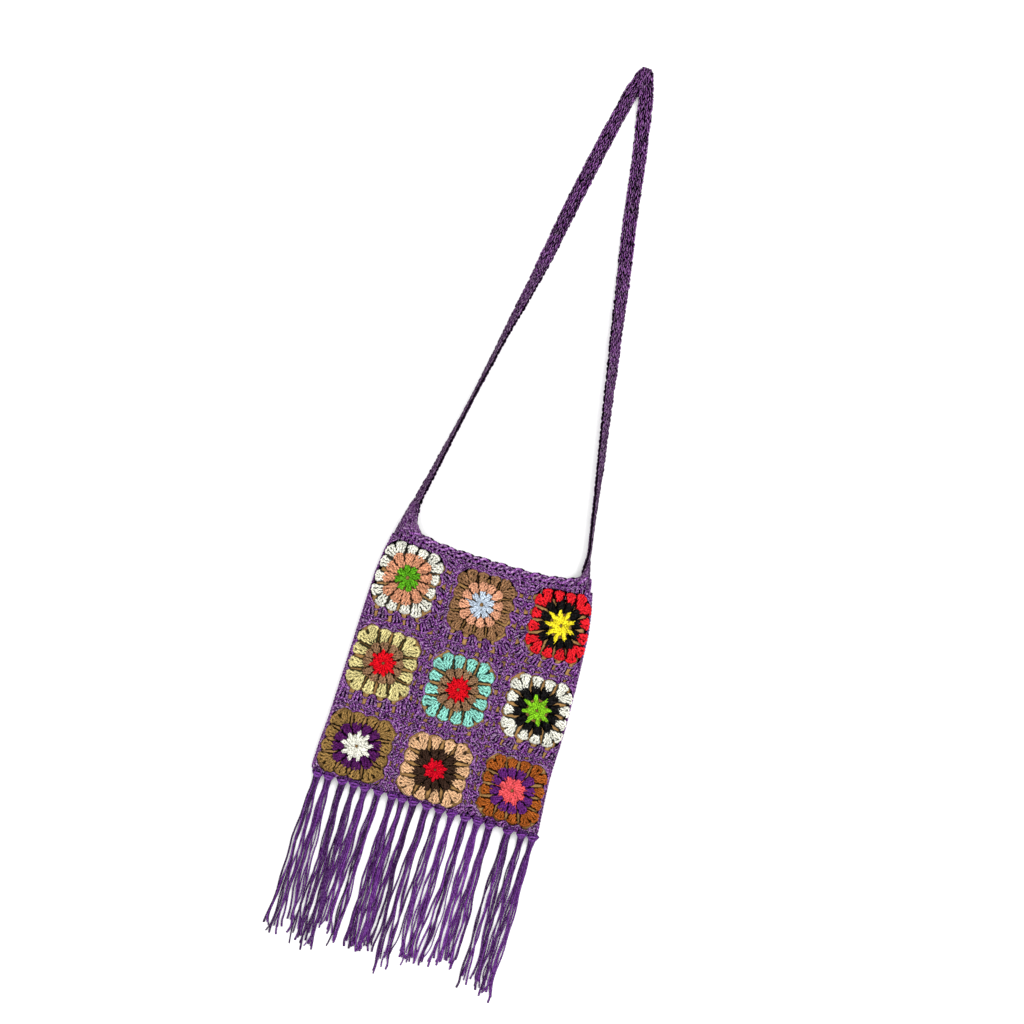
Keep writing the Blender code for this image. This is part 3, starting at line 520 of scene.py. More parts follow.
class YarnWork:
    """Collects yarn tubes and turns them into one mesh."""

    def __init__(self) -> None:
        """Start with nothing in it."""
        self.points: list[np.ndarray] = []
        self.faces: list[np.ndarray] = []
        self.corners: list[np.ndarray] = []
        self.shades: list[np.ndarray] = []
        self.painted_lights: list[np.ndarray] = []
        self.count = 0

    def grid(self, points: np.ndarray, shade: np.ndarray, lay: np.ndarray, painted_light: Any = 1.0) -> None:
        """Add equal rings of points, the faces between them and a face over each end.

        Args:
            points: Rings, as pieces by rings by sides by three.
            shade: One number from 0 to 1 for each piece.
            lay: The length along the yarn at each ring.
            painted_light: Painted light at each point, from 0 for painted shade to 1 for a fully lit crown.
        """
        pieces, rings, sides, _ = points.shape
        index = self.count + np.arange(pieces * rings * sides).reshape(pieces, rings, sides)
        self.count += index.size
        self.points.append(points.reshape(-1, 3))
        self.shades.append(np.repeat(shade, rings * sides))
        self.painted_lights.append((np.zeros(points.shape[:3]) + painted_light).ravel())
        low, high = index[:, :-1], index[:, 1:]
        quads = np.stack([low, np.roll(low, -1, axis=2), np.roll(high, -1, axis=2), high], axis=-1)
        self.faces.append(quads.reshape(-1, 4))
        start = lay[:, :-1, None] + np.zeros((1, 1, sides))
        end = lay[:, 1:, None] + np.zeros((1, 1, sides))
        left = np.arange(sides)[None, None, :] / sides + np.zeros_like(start)
        right = left + 1 / sides
        corners = np.stack([start, left, start, right, end, right, end, left], axis=-1)
        self.corners.append(corners.reshape(-1, 2))
        for end_ring in (index[:, 0, ::-1], index[:, -1]):
            self.faces.append(end_ring)
            self.corners.append(np.zeros((end_ring.size, 2)))

    def tubes(
        self, paths: np.ndarray, radii: Any, shade: np.ndarray, sides: int = 5,
        out: Any = UP, loose: bool = False,
    ) -> None:
        """Add a tube along each path.

        Args:
            paths: Middle lines, as paths by points by three.
            radii: The radius at each point, or one for all.
            shade: One number from 0 to 1 for each path.
            sides: How many sides a tube has.
            out: The direction away from the work, from which the yarn gets its painted light.
            loose: Whether the yarn hangs free, so that its back gets painted light too.
        """
        radii = np.zeros(paths.shape[:2]) + radii
        first, second = frames_along(paths)
        angle = np.arange(sides) / sides * TAU
        side = np.cos(angle)[:, None] * first[:, :, None] + np.sin(angle)[:, None] * second[:, :, None]
        rings = paths[:, :, None] + radii[:, :, None, None] * side
        steps = np.linalg.norm(np.diff(paths, axis=1), axis=2)
        lay = np.concatenate([np.zeros((len(paths), 1)), np.cumsum(steps, axis=1)], axis=1)
        # Painted shade: each ring is darkened on the sides turned away from out and lit on the side facing
        # it.
        facing = np.sum(side * (np.zeros(paths.shape) + np.asarray(out))[:, :, None], axis=-1)
        facing = np.abs(facing) if loose else facing
        self.grid(rings, shade, lay, np.clip((facing + LIT_ROUND) / LIT_RANGE, 0.0, 1.0))

    def plied(
        self, paths: np.ndarray, radii: np.ndarray, turns: float, phase: np.ndarray, shade: np.ndarray,
        out: Any = UP,
    ) -> None:
        """Add yarns whose two plies are wound together.

        Args:
            paths: Middle lines, as paths by points by three.
            radii: The yarn's radius at each point.
            turns: How many turns the plies make.
            phase: The angle that each yarn starts with.
            shade: One number from 0 to 1 for each ply.
            out: The direction away from the work.
        """
        plies = laid_up(paths, radii * PLY_OFFSET, turns, Ply.DOUBLE, phase)
        self.tubes(plies, np.tile(radii * PLY_RADIUS, (Ply.DOUBLE.value, 1)), shade, out=out)

    def piece(self, name: str, finish: YarnFinish | ClothFinish, nodes: Iterable[str]) -> bpy.types.Object:
        """Make the object of all that was collected.

        Args:
            name: The piece's name.
            finish: What it is made of.
            nodes: The solids that it stands for.

        Returns:
            The object, riding on the bag.
        """
        mesh = bpy.data.meshes.new(name)
        faces = [face for block in self.faces for face in block.tolist()]
        points = np.concatenate(self.points)
        # The yarns underneath are pressed flat where the bag lies on the floor.
        sunk = 1 - np.exp(np.minimum(0.0, points[:, 2] - PRESSED_BELOW) / PRESSED_DEPTH)
        points[:, 2] = np.maximum(points[:, 2], PRESSED_BELOW) - PRESSED_DEPTH * sunk
        mesh.from_pydata(points.tolist(), [], faces)
        layer = mesh.uv_layers.new(name="lay")
        layer.data.foreach_set("uv", np.concatenate(self.corners).astype(np.float32).ravel())
        for label, blocks in (("shade", self.shades), ("painted_light", self.painted_lights)):
            values = mesh.attributes.new(label, "FLOAT", "POINT")
            values.data.foreach_set("value", np.concatenate(blocks).astype(np.float32))
        mesh.shade_smooth()
        mesh.materials.append(finish.material())
        made = linked(name, mesh)
        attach(made, "root")
        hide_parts(*nodes)
        triangles = sum(len(face) - 2 for face in faces)
        LOG.info("%s: %d triangles", name, triangles)
        return made


@dataclass(frozen=True)
class Panel:
    """The front's fabric as a surface: flat, a little crowned, rolled over at the sides and bottom."""

    square_width: float = 89.1 * MM
    square_height: float = 95.7 * MM
    side_wrap: float = 6.1 * MM
    bottom_wrap: float = 12.5 * MM
    mouth_trim: float = 6.0 * MM
    ground_width: float = 1.8 * MM
    front_wall: float = 3.0 * MM
    back_wall: float = 3.0 * MM
    cord_radius: float = 2.2 * MM
    roll: float = 4.9 * MM
    crown_height: float = 2.0 * MM
    clearance: float = 0.4 * MM
    mouth_rise: float = 7.7 * MM

    @property
    def bottom(self) -> float:
        """The height of the bottom seam's middle line."""
        return self.bottom_wrap - 1.5 * self.square_height + self.front_wall / 2

    @property
    def mouth(self) -> float:
        """The height of the net's upper edge in the middle."""
        return 1.5 * self.square_height - self.mouth_trim

    @property
    def half_width(self) -> float:
        """Half the width of the panel's middle surface, seen from above."""
        return 1.5 * self.square_width - self.side_wrap - self.roll * (math.pi / 2 - 1)

    @property
    def arc(self) -> float:
        """The length of fabric that one roll takes."""
        return self.roll * math.pi / 2

    @property
    def half_fabric(self) -> float:
        """Half the width of the fabric laid flat."""
        return self.half_width - self.roll + self.arc

    @property
    def fabric_bottom(self) -> float:
        """The bottom edge of the fabric laid flat."""
        return self.bottom + self.roll - self.arc

    @property
    def cord_z(self) -> float:
        """The height of the seam cord's middle line off the floor."""
        return self.back_wall + self.clearance + self.cord_radius

    @property
    def edge_z(self) -> float:
        """The height of the rolled edge off the floor."""
        return self.cord_z + self.cord_radius + self.clearance

    @property
    def front_z(self) -> float:
        """The height of the flat front's middle surface off the floor."""
        return self.edge_z + self.roll

    def side_edge(self, y: Any, side: Any) -> np.ndarray:
        """Find how far the panel reaches to one side.

        Args:
            y: The height up the bag.
            side: Left (-1) or right (1).

        Returns:
            The distance from the middle.
        """
        heights = [self.bottom + row.height * (self.mouth - self.bottom) for row in EDGE_ROWS]
        left = np.interp(y, heights, [row.left for row in EDGE_ROWS])
        right = np.interp(y, heights, [row.right for row in EDGE_ROWS])
        return self.half_width * np.where(np.asarray(side) < 0, left, right)

    def crown(self, x: Any, y: Any) -> np.ndarray:
        """Find how much the slack front rises at a place.

        Args:
            x: Where it is, across.
            y: Where it is, up the bag.

        Returns:
            The height above the flat front.
        """
        across = x / self.side_edge(y, np.where(np.asarray(x) < 0, -1, 1))
        along = (2 * np.asarray(y) - self.mouth - self.bottom) / (self.mouth - self.bottom)
        return self.crown_height * np.maximum(0, 1 - across**2) * np.maximum(0, 1 - along**2)

    def mouth_line(self, share: Any) -> np.ndarray:
        """The net's upper edge at a share of the half width."""
        return self.mouth + self.mouth_rise * np.minimum(1.0, np.abs(share)) ** 3

    def place(self, s: Any, r: Any, height: Any) -> np.ndarray:
        """Put points of the flat fabric where they lie on the bag.

        Args:
            s: Distance across the fabric from its middle.
            r: Distance up the fabric.
            height: Distance off its middle surface.

        Returns:
            The points, with the same shape as the input and three coordinates.
        """
        s, r, height = np.broadcast_arrays(*(np.asarray(part, float) for part in (s, r, height)))
        side = np.where(s < 0, -1.0, 1.0)
        share = np.abs(s) / self.half_fabric
        y = r + (self.mouth_line(share) - self.mouth) * np.maximum(0.0, r / self.mouth) ** 2
        reach = self.side_edge(y, side)
        t = share * (reach - self.roll + self.arc)
        over_x = np.maximum(0.0, t - (reach - self.roll))
        over_y = np.minimum(0.0, y - (self.bottom + self.roll))
        over = np.hypot(over_x, over_y)
        safe = np.maximum(over, 1e-9)
        turn = np.minimum(over / self.roll, math.pi / 2 + 0.3)
        out = (self.roll + height) * np.sin(turn)
        x = side * (t - over_x + out * over_x / safe)
        y = y - over_y + out * over_y / safe
        z = self.edge_z + (self.roll + height) * np.cos(turn)
        return np.stack([x, y, z + self.crown(x, y)], axis=-1)

    def on(self, flat: np.ndarray, height: Any) -> np.ndarray:
        """Put points given across and up the flat fabric where they lie on the bag."""
        return self.place(flat[..., 0], flat[..., 1], height)


PANEL = Panel()


@dataclass(frozen=True)
class Cluster:
    """Posts that share one space and fan out to their heads.

    Narrow and wide are its widths at the base and at the heads, thick is a post's thickness and lift
    the height off the fabric's middle. Dip is how much shorter the outermost posts are, as if the
    cluster were twice as wide, loops counts those over its heads, and taper is a post's thickness at
    the foot, half way and at the head, as shares.
    """

    narrow: float
    wide: float
    thick: float
    lift: float
    dip: float = 3.2 * MM
    loops: int = 2
    taper: tuple[float, float, float] = (0.62, 0.95, 1.0)
    count: int = 3


# The loops over a cluster's heads: how far past them and above them in millimetres, and their radius
# as a share of a post's thickness.
Head = namedtuple("Head", "forward rise fat")
HEADS = (Head(-1.4, 0.95, 0.27), Head(-0.5, 0.1, 0.25))


@dataclass
class Crochet:
    """Works stitches on the panel, with the small unevenness of a hand."""

    seed: int = 7
    post_points: int = 8
    unevenness: float = 0.35 * MM
    height_unevenness: float = 0.15 * MM
    # How far below the stitches the painted shadow tubes lie.
    shadow_sink: float = -0.55 * MM
    narrowest_foot: float = 1.0 * MM
    rng: np.random.Generator = field(init=False)

    def __post_init__(self) -> None:
        """Seed the hand."""
        self.rng = np.random.default_rng(self.seed)

    def posts(
        self, work: YarnWork, start: np.ndarray, end: np.ndarray, thick: np.ndarray, heights: np.ndarray,
        taper: tuple[float, float, float] = (0.62, 0.95, 1.0), turns: float = 1.3,
    ) -> None:
        """Work upright stitches, each of two plies wound together.

        Args:
            work: The mesh that takes them.
            start: Where each post is hooked in, across and up the fabric.
            end: Where its head lies.
            thick: Each post's full thickness.
            heights: Off the fabric's middle at the foot, half way and at the head.
            taper: The thickness at the foot, half way and at the head, as shares.
            turns: How many turns the plies make.
        """
        share = np.linspace(0.0, 1.0, self.post_points)
        flat = runs(start, end, share)
        rise = np.interp(share, [0.0, 0.5, 1.0], heights)[None, :]
        rise = rise + self.rng.normal(0, self.height_unevenness, (len(start), 1))
        axis = PANEL.on(flat, rise)
        out = unit(PANEL.on(flat, rise + MM) - axis)
        swell = np.interp(share, [0.0, 0.6, 1.0], taper)
        swell = swell * np.interp(share, [0.0, 0.12, 0.85, 1.0], [0.8, 1.0, 1.0, 0.75])
        radius = thick[:, None] / 2 * swell[None, :]
        phase = self.rng.uniform(0, TAU, len(start))
        shade = np.tile(self.rng.uniform(0, 1, len(start)), 2)
        work.plied(axis, radius, turns, phase, shade, np.tile(out, (2, 1, 1)))

    def clusters(self, work: YarnWork, base: np.ndarray, tip: np.ndarray, kind: Cluster) -> None:
        """Work clusters of posts with loops over their heads.

        Args:
            work: The mesh that takes them.
            base: Where each cluster is hooked in.
            tip: The middle of its heads.
            kind: What the clusters are like.
        """
        number, count, thick = len(base), kind.count, kind.thick
        base = base + self.rng.normal(0, self.unevenness, base.shape)
        tip = tip + self.rng.normal(0, self.unevenness, tip.shape)
        along = unit(tip - base)
        across = points_of(-along[:, 1], along[:, 0])
        offsets = (np.arange(count) - (count - 1) / 2) / max(1, count - 1)
        foot = max(self.narrowest_foot, kind.narrow - thick * 0.7)
        start = base[:, None] + across[:, None] * (offsets * foot)[None, :, None]
        short = along[:, None] * (-np.abs(offsets) * kind.dip)[None, :, None]
        end = tip[:, None] + across[:, None] * (offsets * (kind.wide - thick))[None, :, None] + short
        start = start.reshape(-1, 2)
        end = end.reshape(-1, 2) + self.rng.normal(0, self.unevenness * 1.3, (number * count, 2))
        stout = thick * self.rng.uniform(0.92, 1.1, number * count)
        self.posts(work, start, end, stout, np.array([-0.8, 0.35, 0.0]) * MM + kind.lift, kind.taper)
        self.shadows(work, base, tip, across, kind)
        span = np.linspace(-0.5, 0.5, 9)
        ripple = np.cos(span * TAU * count)
        for head in HEADS[: kind.loops]:
            flat = tip[:, None] + across[:, None] * (span * kind.wide * 0.94)[None, :, None]
            ahead = head.forward * MM - (span * 2) ** 2 * kind.dip * 0.7
            flat = flat + along[:, None] * ahead[None, :, None]
            wave = (head.rise + 0.45 * ripple)[None, :] * MM + kind.lift
            heads = PANEL.on(flat, wave)
            out = PANEL.on(flat, wave + MM) - heads
            fatness = thick * head.fat * (0.85 + 0.25 * ripple)
            work.tubes(heads, fatness, self.rng.uniform(0, 1, number), out=out / MM)

    def shadows(
        self, work: YarnWork, base: np.ndarray, tip: np.ndarray, across: np.ndarray, kind: Cluster
    ) -> None:
        """Lay painted shadow: dark tubes deep between each cluster's posts and beside them, lit only from
        beneath so that from above they read as shade.

        Args:
            work: The mesh that takes them.
            base: Where each cluster is hooked in.
            tip: The middle of its heads.
            across: The direction across each cluster.
            kind: What the clusters are like.
        """
        share = np.linspace(0.0, 0.93, 5)
        height = kind.lift + self.shadow_sink
        for k in range(kind.count + 1):
            offset = (k - kind.count / 2) / kind.count
            if k in (0, kind.count):
                offset *= 0.94
            head = tip + across * (offset * (kind.wide - kind.thick * 0.3))
            flat = runs(base + across * (offset * kind.narrow), head, share)
            axis = PANEL.on(flat, height)
            down = axis - PANEL.on(flat, height + MM)
            radius = kind.thick * np.interp(share, [0.0, 0.7, 0.93], [0.30, 0.36, 0.24])
            # Painted shadow: out points down, so the tops of these tubes get no painted light.
            work.tubes(axis, radius, np.full(len(base), 0.5), 4, down / MM)

    @staticmethod
    def followed(line: np.ndarray, out: Any, pitch: float, samples: int) -> tuple[np.ndarray, ...]:
        """Follow a line in even steps.

        Args:
            line: Its points in space, finely spaced.
            out: The direction away from the surface, for all points or for each.
            pitch: The length of one stitch.
            samples: How many steps a stitch has.

        Returns:
            The length, the line's points, the way out and the way across at each step.
        """
        length = length_along(line)
        at = np.linspace(0.0, length[-1], max(8, int(length[-1] / pitch * samples)))
        middle = sampled(line, length, at)
        away = sampled(np.broadcast_to(np.asarray(out, float), line.shape), length, at)
        return at, middle, away, np.cross(unit(np.gradient(middle, axis=0)), away)

    def plait(
        self, work: YarnWork, line: np.ndarray, out: Any, width: float, pitch: float, samples: int = 6
    ) -> None:
        """Work a chain of loops along a line: three yarns that cross over one another in turn.

        Args:
            work: The mesh that takes it.
            line: Points of the line in space, finely spaced.
            out: The direction away from the surface, for all points or for each.
            width: The plait's full width.
            pitch: The length of one crossing.
            samples: How many points a crossing has.
        """
        at, middle, away, side = self.followed(line, out, pitch, samples)
        strands = []
        for k in range(Ply.TRIPLE.value):
            angle = TAU * (at / pitch / 2 + k / Ply.TRIPLE.value)
            swing = np.sin(angle)[:, None] * side * width * 0.33
            strands.append(middle + swing + np.sin(2 * angle)[:, None] * away * width * 0.18)
        work.tubes(np.array(strands), width * 0.17, np.array([0.1, 0.55, 1.0]), out=unit(away)[None])

    def rope(self, work: YarnWork, line: np.ndarray, out: Any, width: float, turn: float) -> None:
        """Work two yarns twisted round each other along a line.

        Args:
            work: The mesh that takes them.
            line: Points of the line in space, finely spaced.
            out: The direction away from the surface, for all points or for each.
            width: The full width.
            turn: The length of one full turn.
        """
        at, middle, away, side = self.followed(line, out, turn, 12)
        strands = []
        for k in range(Ply.DOUBLE.value):
            angle = (TAU * at / turn + math.pi * k)[:, None]
            strands.append(middle + (np.cos(angle) * side + 0.50 * np.sin(angle) * away) * width * 0.32)
        work.tubes(np.array(strands), width * 0.21, np.array([0.35, 0.9]), 7, away[None])


@dataclass
class GrannySquares:
    """The nine squares of the front, three coloured rounds each, and the purple round about them."""

    crochet: Crochet
    seams_s: tuple[float, float] = (-42.2 * MM, 45.5 * MM)
    seams_r: tuple[float, float] = (48.2 * MM, -46.2 * MM)
    # The ridges between the squares and the chain along the panel's edges.
    seam_width: float = 6.0 * MM
    seam_pitch: float = 5.2 * MM
    seam_height: float = 0.6 * MM
    seam_wander: float = 0.8 * MM
    edge_width: float = 5.0 * MM
    edge_pitch: float = 5.6 * MM
    edge_height: float = 0.2 * MM
    edge_inset: float = 2.0 * MM
    ground: Cluster = Cluster(6.8 * MM, 13.6 * MM, 3.9 * MM, -0.2 * MM, 1.6 * MM, loops=1)
    # Where the purple clusters sit along a square's side, and how far out their heads lie.
    places: tuple[tuple[float, float], ...] = (
        (-0.88, -0.79), (-0.45, -0.40), (0.0, 0.0), (0.45, 0.40), (0.88, 0.79),
    )
    narrowest: float = 3.2 * MM
    hooked: float = 1.2 * MM
    short: float = 1.4 * MM

    def centre(self, square: Square) -> np.ndarray:
        """Find where a square's centre lies on the fabric.

        Args:
            square: The square.

        Returns:
            Its place across and up.
        """
        s = (square.column - 2 + square.shift_x) * PANEL.square_width
        r = (2 - square.row) * PANEL.square_height + square.shift_y * PANEL.square_width
        return np.array([s, r])

    def fitted(self, square: Square, local: np.ndarray) -> np.ndarray:
        """Put points of a square on the fabric, pressed together where it wraps round an edge.

        Args:
            square: The square.
            local: Points about its centre.

        Returns:
            Points across and up the fabric.
        """
        centre = self.centre(square)
        full = square.outer * PANEL.square_width
        limit_s = PANEL.half_fabric - PANEL.ground_width - abs(centre[0])
        limit_down = centre[1] - PANEL.fabric_bottom - PANEL.ground_width
        limit_up = PANEL.mouth - PANEL.ground_width - centre[1]
        s = local[..., 0].copy()
        r = local[..., 1] * square.tall
        s = np.where(s * centre[0] > 0, s * min(1.0, limit_s / full), s)
        r = np.where(r < 0, r * min(1.0, limit_down / (full * square.tall)), r)
        r = np.where(r > 0, r * min(1.0, limit_up / (full * square.tall)), r)
        return centre + np.stack([s, r], axis=-1)

    @staticmethod
    def radial(reach: float, squareness: float, angles: np.ndarray) -> np.ndarray:
        """Set points on a circle or a rounded square.

        Args:
            reach: Its half width.
            squareness: 2 for a circle, more for a squarer ring.
            angles: The direction of each point.

        Returns:
            The points about the middle.
        """
        cosine, sine = np.cos(angles), np.sin(angles)
        size = reach * (np.abs(cosine) ** squareness + np.abs(sine) ** squareness) ** (-1 / squareness)
        return np.stack([cosine * size, sine * size], axis=-1)

    def star(self, square: Square) -> YarnWork:
        """Work the first round: arms out of a drawn-in ring, plump or drawn to points.

        Args:
            square: The square.

        Returns:
            The round.
        """
        work = YarnWork()
        reach = square.centre * PANEL.square_width
        style = STARS[(square.row, square.column)]
        rng = self.crochet.rng
        step = TAU / style.arms
        angles = (np.arange(style.arms) + 0.5) * step + rng.uniform(-0.12, 0.12)
        angles = angles + rng.normal(0, 0.03, style.arms)
        thick = np.full(style.arms, step * reach * 0.46)
        for side in (-1, 1):
            start = self.fitted(square, self.radial(reach * 0.16, 2.0, angles + side * step * 0.30))
            lengths = reach * style.point * rng.uniform(0.94, 1.04, style.arms)[:, None]
            end = self.fitted(square, self.radial(1.0, 2.0, angles + side * step * style.open) * lengths)
            heights = np.array([0.1, 1.1, 0.9]) * MM
            self.crochet.posts(work, start, end, thick, heights, (0.7, 1.0, style.tip), 1.2)
        if style.open < 0.15:
            start = self.fitted(square, self.radial(reach * 0.12, 2.0, angles + step / 2))
            fill = 0.64 if style.point > 1.2 else 0.82
            end = self.fitted(square, self.radial(reach * fill, 2.0, angles + step / 2))
            self.crochet.posts(work, start, end, thick, np.array([0.0, 0.8, 0.5]) * MM, (0.6, 1.0, 0.9))
        if style.strands:
            along = (np.arange(style.strands) + 0.5) / style.strands * TAU + rng.normal(0, 0.1)
            far = rng.uniform(1.15, 1.42, style.strands)[:, None] * reach
            start = self.fitted(square, self.radial(reach * 0.7, 2.0, along))
            end = self.fitted(square, self.radial(1.0, 2.0, along) * far)
            thin = np.full(style.strands, 1.1 * MM)
            self.crochet.posts(work, start, end, thin, np.array([0.9, 1.7, 1.0]) * MM, (1.0, 0.9, 0.8))
        return work

    def petals(self, square: Square) -> YarnWork:
        """Work the second round: twelve plump petals hooked between the star's arms.

        Args:
            square: The square.

        Returns:
            The round.
        """
        work = YarnWork()
        low = square.centre * PANEL.square_width
        high = square.inner * PANEL.square_width
        angles = (np.arange(12) + 0.5) / 12 * TAU + self.crochet.rng.uniform(-0.06, 0.06)
        base = self.fitted(square, self.radial(low * 0.84, 2.0, angles))
        tip = self.fitted(square, self.radial(high + 1.0 * MM, 2.5, angles))
        room = TAU * high / 12
        leaf = STARS[(square.row, square.column)].leaf
        kind = Cluster(room * 0.50, room * leaf, room * 0.36, 0.25 * MM, 4.6 * MM, taper=(0.85, 1.1, 0.85))
        self.crochet.clusters(work, base, tip, kind)
        return work

    def outer(self, square: Square) -> YarnWork:
        """Work the third round: two clusters along each side and two that part at each corner.

        Args:
            square: The square.

        Returns:
            The round.
        """
        work = YarnWork()
        low = square.inner / square.outer
        high = square.outer * PANEL.square_width
        foot = STARS[(square.row, square.column)].foot
        inward = 0.76 + 0.20 * foot
        rows = ((low * inward, 0.185, 0.985, 0.215), (low * (inward - 0.12), 0.50, 0.97, 0.635))
        base, tip = [], []
        for quarter in range(4):
            cosine, sine = math.cos(quarter * math.pi / 2), math.sin(quarter * math.pi / 2)
            turn = np.array([[cosine, -sine], [sine, cosine]])
            for base_out, base_along, tip_out, tip_along in rows:
                for mirror in (-1, 1):
                    base.append(turn @ np.array([base_out, base_along * mirror]) * high)
                    tip.append(turn @ np.array([tip_out, tip_along * mirror]) * high)
        start = self.fitted(square, np.array(base))
        end = self.fitted(square, np.array(tip))
        wide = high * 0.352
        kind = Cluster(wide * foot, wide, wide / 3 * 1.2, 0.75 * MM, 3.4 * MM)
        self.crochet.clusters(work, start, end, kind)
        return work

    def surround(self, work: YarnWork, square: Square) -> None:
        """Work the purple round about one square, out to its seams or to the panel's edge.

        Args:
            work: The mesh that takes them.
            square: The square.
        """
        centre = self.centre(square)
        reach = square.outer * PANEL.square_width
        left = -PANEL.half_fabric if square.column == 1 else self.seams_s[square.column - 2]
        right = PANEL.half_fabric if square.column == 3 else self.seams_s[square.column - 1]
        up = PANEL.mouth if square.row == 1 else self.seams_r[square.row - 2]
        down = PANEL.fabric_bottom if square.row == 3 else self.seams_r[square.row - 1]
        base, tip, bridges = [], [], []
        for axis, bounds, low, high in ((0, (right, left), down, up), (1, (up, down), left, right)):
            middle = (low + high) / 2 - centre[1 - axis]
            for bound in bounds:
                way = 1 if bound > centre[axis] else -1
                ring = self.fitted(square, np.eye(2)[axis] * reach * way)[axis]
                if abs(bound - ring) < self.narrowest:
                    continue
                for near, far in self.places:
                    base.append(centre.copy())
                    out = ring - centre[axis] - way * self.hooked
                    base[-1][[axis, 1 - axis]] += out, near * reach * 0.98
                    tip.append(centre.copy())
                    out = bound - centre[axis] - way * self.short
                    tip[-1][[axis, 1 - axis]] += out, middle + far * (high - low) / 2
                for k in range(-len(self.places), -1):
                    bridges.append((base[k], base[k + 1], (tip[k] - base[k]) * 0.42))
        for corner in ((1, 1), (1, -1), (-1, 1), (-1, -1)):
            start = self.fitted(square, np.array([1.02, 0.74]) * corner * reach)
            end = self.fitted(square, np.array([0.74, 1.02]) * corner * reach)
            bow = self.fitted(square, np.array(corner) * reach) - (start + end) / 2
            bridges += [(start, end, bow * share) for share in (0.05, 0.45, 0.9)]
        self.crochet.clusters(work, np.array(base), np.array(tip), self.ground)
        self.chains(work, np.array(bridges))

    def chains(self, work: YarnWork, bridges: np.ndarray) -> None:
        """Work the chains that lead from each purple cluster to the next, over the open spaces.

        Args:
            work: The mesh that takes them.
            bridges: Where each starts, where it ends and how far it bows out.
        """
        share = np.linspace(0.0, 1.0, 7)
        bow = bridges[:, 2:3] * (4 * share * (1 - share))[None, :, None]
        flat = runs(bridges[:, 0], bridges[:, 1], share) + bow
        flat = flat + self.crochet.rng.normal(0, 0.4 * MM, (len(bridges), 1, 2))
        line = PANEL.on(flat, (0.2 + 0.7 * np.sin(share * math.pi)) * MM)
        for phase in (0.0, math.pi):
            swing = np.stack([np.sin(share * 9 + phase)] * 3, axis=-1) * np.array([0.5, 0.5, 0.3]) * MM
            work.tubes(line + swing[None], 0.85 * MM, self.crochet.rng.uniform(0, 1, len(bridges)))

    def seams(self, work: YarnWork) -> None:
        """Work the ridges that join the squares, across and up the front.

        Args:
            work: The mesh that takes them.
        """
        r = np.linspace(PANEL.fabric_bottom, PANEL.mouth, 120)
        s = np.linspace(-PANEL.half_fabric, PANEL.half_fabric, 120)
        lines = [(seam + np.sin(r * 160) * self.seam_wander, r) for seam in self.seams_s]
        lines += [(s, seam + np.sin(s * 150) * self.seam_wander) for seam in self.seams_r]
        for line in lines:
            place = PANEL.place(*line, self.seam_height)
            self.crochet.plait(work, place, UP, self.seam_width, self.seam_pitch)

    def fringes_of_net(self, work: YarnWork) -> None:
        """Work the chain that runs along the panel's rolled edges.

        Args:
            work: The mesh that takes them.
        """
        r = np.linspace(PANEL.fabric_bottom + PANEL.arc, PANEL.mouth, 200)
        s = np.linspace(-PANEL.half_fabric, PANEL.half_fabric, 200)
        edge = PANEL.half_fabric - self.edge_inset
        for line, out in (
            ((-edge, r), (-0.9, 0.0, 0.4)),
            ((edge, r), (0.9, 0.0, 0.4)),
            ((s * 0.97, PANEL.fabric_bottom + self.edge_inset), (0.0, -0.9, 0.4)),
        ):
            place = PANEL.place(*line, self.edge_height)
            self.crochet.plait(work, place, out, self.edge_width, self.edge_pitch)

    def build(self) -> None:
        """Make the squares' rounds and the ground."""
        ground = YarnWork()
        for square in SQUARES:
            label = f"square_{square.row}{square.column}"
            for part, worked, colour in (
                ("centre", self.star(square), square.colours[0]),
                ("inner_round", self.petals(square), square.colours[1]),
                ("outer_round", self.outer(square), square.colours[2]),
            ):
                finish = YarnFinish(f"{colour}_yarn", YARN_COLOURS[colour])
                worked.piece(f"{label}_{part}_stitches", finish, [f"{label}_{part}"])
            self.surround(ground, square)
        ground.piece("front_net_stitches", GROUND_YARN, ["front_net"])
        ridges = YarnWork()
        self.seams(ridges)
        self.fringes_of_net(ridges)
        ridges.piece("front_net_seams", GROUND_YARN, ["front_net"])


